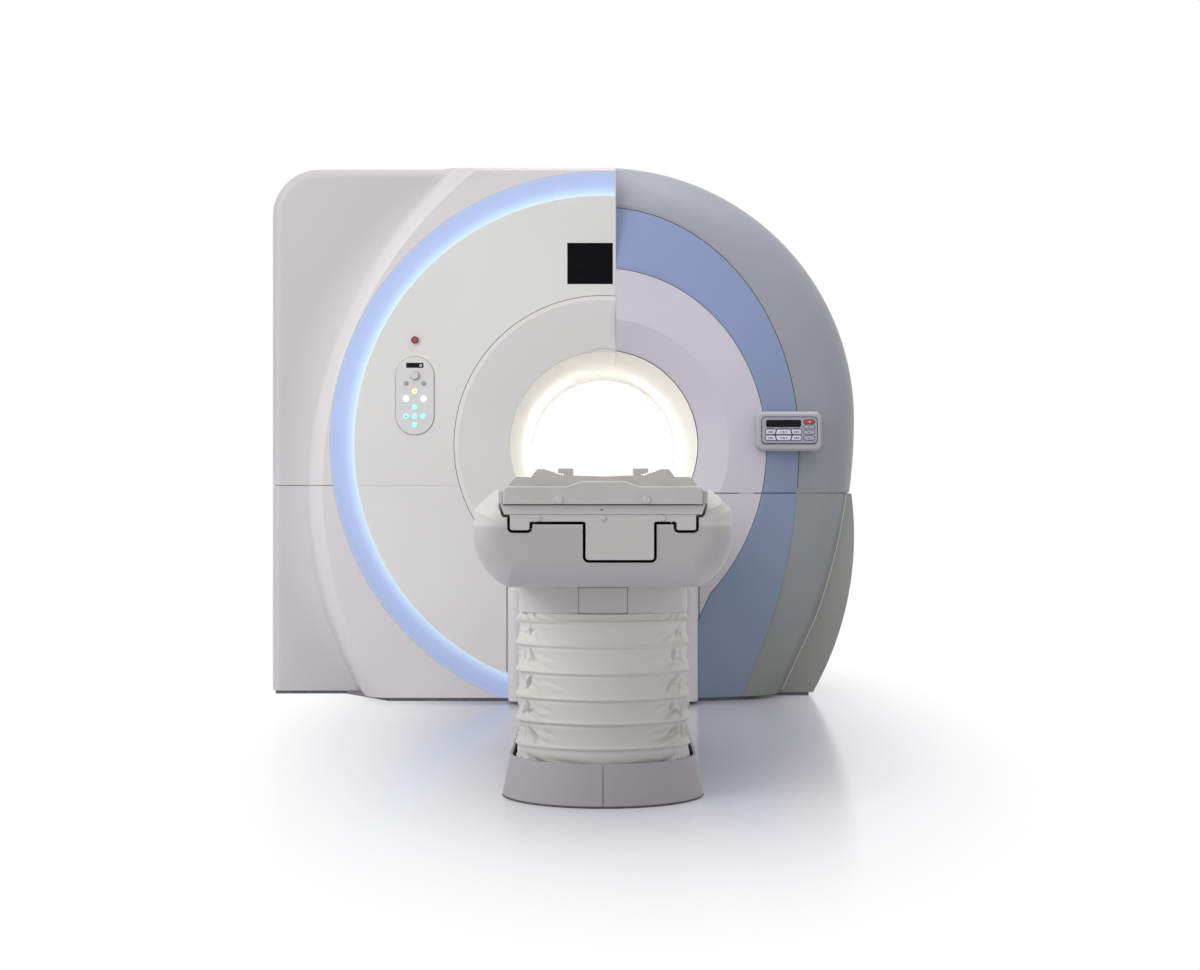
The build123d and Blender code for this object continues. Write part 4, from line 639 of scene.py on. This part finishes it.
lilac = Finish("oval_keys", "keypad_shell", roughness=0.45)
lilac.tint(lilac.cloud(500, 2), (0.36, 0.355, 0.41), (0.42, 0.415, 0.47))
ovals = [
    raised(OVAL_LEFT, OVAL_RIGHT, low, high, (high - low) / 2.05, 0.0020, 0.0009)
    for low, high in OVALS
]
make_piece("oval_keys", ovals[1:], lilac)
dashes = [ink_bar(0.855, (a + b) / 2, 0.0040, 0.0016, 0.0010, 0.0022) for a, b in OVALS[1:]]
make_piece("oval_marks", dashes, shadow)

stop_key = Finish("stop_key_red", "button_red", roughness=0.35)
stop_grain = stop_key.cloud(400, 2)
stop_key.tint(stop_grain, (0.36, 0.028, 0.035), (0.46, 0.045, 0.05))
make_piece("red_key", ovals[:1], stop_key)
# A pale spot lit from within in the middle of the red key: painted highlight.
red_key_highlight = small_print("red_key_painted_highlight", "button_red", (0.80, 0.42, 0.40), 0.15)
make_piece("red_key_highlight_spot", [ink_bar(0.857, 1.1665, 0.0040, 0.0037, 0.0033, 0.0022)], red_key_highlight)

# Couch: the same sprayed shells in a warmer grey, over a painted steel lifting column. The tub is
# paler above the bend of its sides and under its belly, painted light, and the plinth is dark at
# its foot, painted shade where it stands on the floor.

couch_paint = sprayed("couch_paint", "couch_shell", (0.470, 0.450, 0.440))
height = couch_paint.along("Z")
# Painted light on the tub: lighter above the bend of its sides and under its belly.
painted_tub_light = height.step(0.785, 0.802) * 0.85 + height.step(0.715, 0.640) * 0.4
couch_paint.tint(painted_tub_light, couch_paint.tone, (0.610, 0.590, 0.560))
couch_paint.worn_by("tub")
neck_paint = sprayed("neck_paint", "couch_shell", (0.625, 0.592, 0.572))
neck_paint.worn_by("neck", "neck_hatch")
sledge_paint = sprayed("sledge_paint", "couch_shell", (0.580, 0.555, 0.530))
sledge_paint.worn_by("carriage")
plinth_paint = sprayed("plinth_paint", "plinth_grey", (0.360, 0.342, 0.355), gloss=0.5)
# Painted shade along the plinth's foot, where it stands on the floor.
painted_floor_shade = plinth_paint.along("Z").step(0.0075, 0.0045)
plinth_paint.tint(painted_floor_shade, plinth_paint.tone, (0.045, 0.040, 0.045))
plinth_paint.worn_by("plinth")
column_paint = Finish("column_enamel", "column_metal", roughness=0.35, coat=0.2)
film = column_paint.cloud(50, 3)
column_paint.tint(film, (0.24, 0.25, 0.27), (0.30, 0.31, 0.33))
column_paint.worn_by("column_mid", "column_inner")

# Tabletop and foot cap: a foam core in a smooth moulded skin, with its coil sockets and the
# screw caps on its foot end.

skin = Finish("table_skin", "table_resin", roughness=0.35, coat=0.15)
scuff = skin.cloud(14, 4, (1, 0.15, 1))
skin.tint(scuff.step(0.3, 0.7), (0.50, 0.480, 0.455), (0.54, 0.520, 0.495))
skin.set("Roughness", 0.28 + 0.15 * scuff)
skin.relief(skin.cloud(500, 2), 0.0002)
skin.worn_by("tabletop", "foot_cap", "bore_bridge")

cheeks = [
    pad(left, left + 0.0134, 0.8542, 0.8888, 0.003, -3.3060, -3.2600, 0.002)
    for left in (-0.2836, 0.2702)
]
make_piece("foot_cheeks", cheeks, skin, "table_body")
# A black strip in the gap under the foot cap: painted shade.
shade_x = np.linspace(-0.270, 0.270, 40)
strip("foot_gap_shade", shade_x, np.full(40, 0.8514), -3.3068, 0.0014, gap_shade, "table_body")

socket_plastic = Finish("socket_plastic", "socket_grey", roughness=0.5)
matt = socket_plastic.cloud(500, 2)
socket_plastic.tint(matt, (0.40, 0.39, 0.38), (0.47, 0.46, 0.45))
socket_plastic.relief(matt, 0.0002)
socket_plastic.worn_by("coil_sockets")

cap_plastic = Finish("screw_caps", "screw_cap", roughness=0.3)
shine = cap_plastic.cloud(500, 2)
cap_plastic.tint(shine, (0.50, 0.49, 0.48), (0.56, 0.55, 0.54))
cap_plastic.worn_by("table_screws")

# Bellows of coated cloth round the lifting column: flat hoops sewn in at each seam, the cloth
# drawn in between them, and creased beside the corners, more so near the floor.

HOOPS = np.array([0.160, 0.230, 0.298, 0.372, 0.449, 0.517])  # heights of the seams
HOOP_OUT = 0.0115  # how far a hoop stands out of the plan
CLOTH_HALF = 0.240
CLOTH_FRONT, CLOTH_REAR = -3.112, -2.120
FRONT_BOW = 0.100
CORNER_R = 0.048
bellows_low, bellows_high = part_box("bellows")


def bellows_outline(count, raw=121, fine_count=2400):
    """Plan of the bellows: a bowed front and three flat sides with round corners.

    The front of a square frame is pushed out by a parabola, and the corners are rounded by
    averaging the outline over a short length. Points lie three times as close beside the corners
    as on the flat sides. Returns the points, their outward directions, their places along the
    outline in metres, those of the corners, and the outline's length.
    """
    s = np.linspace(-1, 1, raw)
    bow = np.stack([CLOTH_HALF * s, CLOTH_FRONT + FRONT_BOW * s**2], 1)
    flank = np.linspace(CLOTH_FRONT + FRONT_BOW, CLOTH_REAR, raw)
    right = np.stack([np.full(raw, CLOTH_HALF), flank], 1)
    back = np.stack([np.linspace(CLOTH_HALF, -CLOTH_HALF, raw), np.full(raw, CLOTH_REAR)], 1)
    left = right[::-1] * (-1, 1)
    loop = np.concatenate([bow[:-1], right[:-1], back[:-1], left[:-1]])
    steps = np.linalg.norm(np.roll(loop, -1, 0) - loop, axis=1)
    run = np.concatenate([[0], np.cumsum(steps)])
    length = run[-1]
    closed = np.concatenate([loop, loop[:1]])
    fine = np.linspace(0, length, fine_count, endpoint=False)
    path = np.stack([np.interp(fine, run, closed[:, k]) for k in (0, 1)], 1)
    reach = int(1.3 * CORNER_R / length * fine_count)
    kernel = np.hanning(2 * reach + 1)
    kernel /= kernel.sum()
    wrapped = np.concatenate([path[-reach:], path, path[:reach]])
    smooth = np.stack([np.convolve(wrapped[:, k], kernel, "valid") for k in (0, 1)], 1)
    ahead = np.roll(smooth, -1, 0) - np.roll(smooth, 1, 0)
    out = np.stack([ahead[:, 1], -ahead[:, 0]], 1)
    out /= np.linalg.norm(out, axis=1)[:, None]
    corners = run[: 4 * (raw - 1) : raw - 1]
    density = 1 + 2.5 * np.exp(-((from_corner(fine, corners, length) / 0.09) ** 4)).max(1)
    density += 0.8 * (fine < corners[1])
    share = np.cumsum(density) / density.sum()
    even = np.linspace(0, 1, count, endpoint=False)
    pick = np.interp(even, share, np.arange(fine_count)).astype(int)
    return smooth[pick], out[pick], fine[pick], corners, length


def from_corner(run, corners, length):
    """Signed distance along the outline from each corner, the short way round."""
    return (run[:, None] - corners[None] + length / 2) % length - length / 2


def crease(along, height, start, end, depth, width):
    """Fold of the cloth along a line: a narrow valley beside a softer ridge.

    The distance across the line makes a valley, minus a bell curve, and a ridge, a wider bell
    curve set to one side. Both fade out smoothly past the two ends.
    """
    line = np.subtract(end, start)
    span = np.hypot(*line)
    a = ((along - start[0]) * line[0] + (height - start[1]) * line[1]) / span
    d = ((along - start[0]) * line[1] - (height - start[1]) * line[0]) / span
    past = np.maximum(np.maximum(-a, a - span), 0) / (1.2 * width)
    fuller = 0.55 + 0.45 * np.sin(math.pi * np.clip(a / span, 0, 1))
    ridge = 0.75 * np.exp(-(((d - 1.9 * width) / (1.5 * width)) ** 2))
    valley = np.exp(-((d / width) ** 2))
    return depth * (ridge - valley) * fuller * np.exp(-(past**2))


plan, outward, run, corners, length = bellows_outline(600)
stations = np.array([bellows_low[2] + 0.002, *HOOPS, bellows_high[2] + 0.02])
steps = np.linspace(0, 1, 22, endpoint=False)
steps = steps - 0.11 * np.sin(2 * math.pi * steps) / math.pi
heights = (stations[:-1, None] + np.diff(stations)[:, None] * steps[None]).ravel()
heights = np.append(heights[heights < bellows_high[2]], bellows_high[2])
panel = np.searchsorted(stations, heights, side="right").clip(1, len(stations) - 1)
within = (heights - stations[panel - 1]) / np.diff(stations)[panel - 1]
reach = from_corner(run, corners, length)
nearest = np.abs(reach).argmin(1)
beside = np.take_along_axis(reach, nearest[:, None], 1)[:, 0]

# A panel is drawn in between its hoops by a bowed share of drawn, most at the corners. Each seam
# is a bead with a groove under it, both bell curves of the height.
drawn = np.where(run < corners[1], 0.004, 0.008)
drawn = drawn + (0.0155 - drawn) * np.exp(-((beside / 0.06) ** 2))
drawn = np.where(heights[:, None] < HOOPS[0], 0.35 * drawn[None], drawn[None])
over_hoop = heights[:, None] - HOOPS
bead = 0.0034 * np.exp(-((over_hoop / 0.0034) ** 2)).sum(1)
groove = 0.0030 * np.exp(-(((over_hoop + 0.0080) / 0.0032) ** 2)).sum(1)
belly = np.sin(math.pi * within) ** 0.7
swell = HOOP_OUT + (bead - groove)[:, None] - belly[:, None] * drawn

# Folds beside each corner: start and end as the distance from the corner and the share of the
# panel's height, then the share of the full depth, and the width. The lowest panel has two more.
FOLDS = [
    ((0.040, 0.80), (0.052, 0.42), 0.9, 0.0036),
    ((0.052, 0.42), (0.100, 0.16), 0.7, 0.0048),
    ((0.046, 0.52), (0.026, 0.34), 0.6, 0.0034),
    ((0.080, 0.66), (0.125, 0.40), 0.35, 0.0056),
    ((0.014, 0.74), (0.022, 0.22), 0.5, 0.0040),
]
LOW_FOLDS = [
    ((0.045, 0.88), (0.190, 0.34), 0.75, 0.0085),
    ((0.120, 0.78), (0.230, 0.56), 0.4, 0.0070),
]
folds = np.zeros_like(swell)
rng = np.random.default_rng(11)
for number in range(1, len(stations)):
    rows = np.nonzero(panel == number)[0]
    up = heights[rows][:, None]
    bottom, tall = stations[number - 1], np.diff(stations)[number - 1]
    depth = np.interp(bottom, [0.03, 0.16, 0.5], [0.0150, 0.0125, 0.0065])
    for corner, side in ((corner, side) for corner in range(4) for side in (-1, 1)):
        columns = np.nonzero((nearest == corner) & (beside * side > -0.02))[0]
        there = np.ix_(rows, columns)
        out_along = (beside[columns] * side)[None]
        for start, end, share, width in FOLDS + (LOW_FOLDS if number == 1 else []):
            jog = rng.uniform(-1, 1, 6)
            a = (start[0] + 0.013 * jog[0], bottom + tall * (start[1] + 0.10 * jog[1]))
            b = (end[0] + 0.024 * jog[2], bottom + tall * (end[1] + 0.10 * jog[3]))
            deep = depth * share * (1 + 0.35 * jog[4])
            folds[there] += crease(out_along, up, a, b, deep, width * (1 + 0.2 * jog[5]))
quiet = np.sin(math.pi * within) ** 0.5
swell = np.minimum(swell + folds * quiet[:, None], 0.0149)

# The outer face runs up from the floor plate, and two more rings inside it close the wall.
points = np.empty((len(heights) + 2, len(run), 3))
points[:-2, :, :2] = plan[None] + swell[..., None] * outward[None]
points[:-2, :, 2] = heights[:, None]
points[-2:, :, :2] = plan - 0.024 * outward
points[-2, :, 2] = bellows_high[2]
points[-1, :, 2] = heights[0]

cloth = Finish("coated_cloth", "bellows_cloth", roughness=0.5)
threads = cloth.along("Z") * 4200
weft = threads.maths("SINE", threads) * 0.5 + 0.5
stain = cloth.cloud(5, 3)
upper_cloth = cloth.mix(stain, (0.632, 0.614, 0.568), (0.684, 0.666, 0.620))
grey = cloth.mix(stain, (0.500, 0.485, 0.450), (0.548, 0.532, 0.495))
painted_shade_below_hoop = cloth.mix(stain, (0.500, 0.484, 0.462), (0.550, 0.534, 0.512))
height = cloth.along("Z")
# The cloth is darker towards the bottom.
darker_low = cloth.mix(height.step(0.12, 0.52), grey, upper_cloth)
# Below the lowest hoop it is darker still: painted shade under the hoop.
cloth.tint(height.step(0.166, 0.142), darker_low, painted_shade_below_hoop)
cloth.set("Roughness", 0.42 + 0.14 * stain)
cloth.relief(weft * 0.6 + cloth.cloud(1500, 2) * 0.4, 0.00012)
bellows_piece = make_piece("bellows_cloth", [points], cloth, loop=True)
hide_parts("bellows")
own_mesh(bellows_piece)

# Studio: a pale floor that fades to white round the scanner, soft boxes on both sides, and the
# camera in front of the couch at the height of the bore.

FLOOR_HALF = 30.0
floor_mesh = bpy.data.meshes.new("studio_floor")
sheet = [(x * FLOOR_HALF, y * FLOOR_HALF, 0) for x, y in ((-1, -1), (1, -1), (1, 1), (-1, 1))]
floor_mesh.from_pydata(sheet, [], [(0, 1, 2, 3)])
studio_floor = bpy.data.objects.new("studio_floor", floor_mesh)
bpy.context.scene.collection.objects.link(studio_floor)
lino = Finish("pale_floor", None, roughness=0.16)
lino.tint(lino.cloud(0.6, 2), (0.61, 0.605, 0.67), (0.65, 0.645, 0.71))
from_middle_x = (lino.along("X") - 0.09) / 1.17
from_middle_y = (lino.along("Y") + 1.4) / 2.7
fade = ((from_middle_x**2 + from_middle_y**2) ** 0.5).step(0.45, 1.25)
white = lino.node("Emission", {}, {"Color": (1, 1, 1, 1), "Strength": 1.0})
seen = lino.node("LightPath", {}, {}, "Is Camera Ray")
mirrored = lino.node("LightPath", {}, {}, "Is Glossy Ray")
either = seen.maths("MAXIMUM", seen, mirrored)
painted = Map(lino, lino.shader.outputs[0])
surface = lino.node("MixShader", {}, {0: fade * either, 1: painted, 2: white})
lino.tree.links.new(surface.socket, lino.tree.nodes["Material Output"].inputs["Surface"])
floor_mesh.materials.append(lino.material)


class Sky(Finish):
    """The light of the studio's walls, made with the same nodes as a finish."""

    def __init__(self, name):
        self.world = bpy.data.worlds.new(name)
        self.world.use_nodes = True
        self.tree = self.world.node_tree


sky = Sky("studio")
bpy.context.scene.world = sky.world
walls = sky.node("Background", {}, {"Color": (0.96, 0.97, 1.0, 1), "Strength": 0.62})
bright = sky.node("Background", {}, {"Color": (1, 1, 1, 1), "Strength": 1.0})
seen = sky.node("LightPath", {}, {}, "Is Camera Ray")
for ray in ("Is Glossy Ray", "Is Transmission Ray"):
    seen = seen.maths("MAXIMUM", seen, sky.node("LightPath", {}, {}, ray))
shown = sky.node("MixShader", {}, {0: seen, 1: walls, 2: bright})
sky.tree.links.new(shown.socket, sky.tree.nodes["World Output"].inputs["Surface"])


def soft_box(name, place, aim, size, power):
    """Square lamp at place, turned towards aim."""
    lamp = bpy.data.lights.new(name, "AREA")
    lamp.shape = "SQUARE"
    lamp.size = size
    lamp.energy = power
    made = bpy.data.objects.new(name, lamp)
    made.location = place
    made.rotation_euler = (Vector(aim) - Vector(place)).to_track_quat("-Z", "Y").to_euler()
    bpy.context.scene.collection.objects.link(made)


soft_box("key_left", (-4.5, -5.5, 4.4), (-0.3, -1.0, 1.0), 4.0, 195)
soft_box("low_left", (-3.8, -2.95, 1.0), (-0.4, -0.8, 0.8), 2.0, 14)
soft_box("low_right", (3.6, -2.95, 1.2), (0.3, -0.8, 0.9), 2.0, 9)
soft_box("top", (0.5, -1.5, 6.0), (0, -1.2, 0), 4.0, 100)
soft_box("in_bore", (0, 0.0, 1.40), (0, 0.0, 0.9), 0.3, 7)

CAMERA_Y, CAMERA_H = -7.817, 0.905
lens = bpy.data.cameras.new("camera")
lens.lens = 50
lens.sensor_width = 36
lens.shift_x = -0.0025
camera = bpy.data.objects.new("camera", lens)
camera.location = (0, CAMERA_Y, CAMERA_H)
camera.rotation_euler = (math.radians(90), 0, 0)
bpy.context.scene.collection.objects.link(camera)
bpy.context.scene.camera = camera
bpy.context.scene.view_settings.view_transform = "Standard"
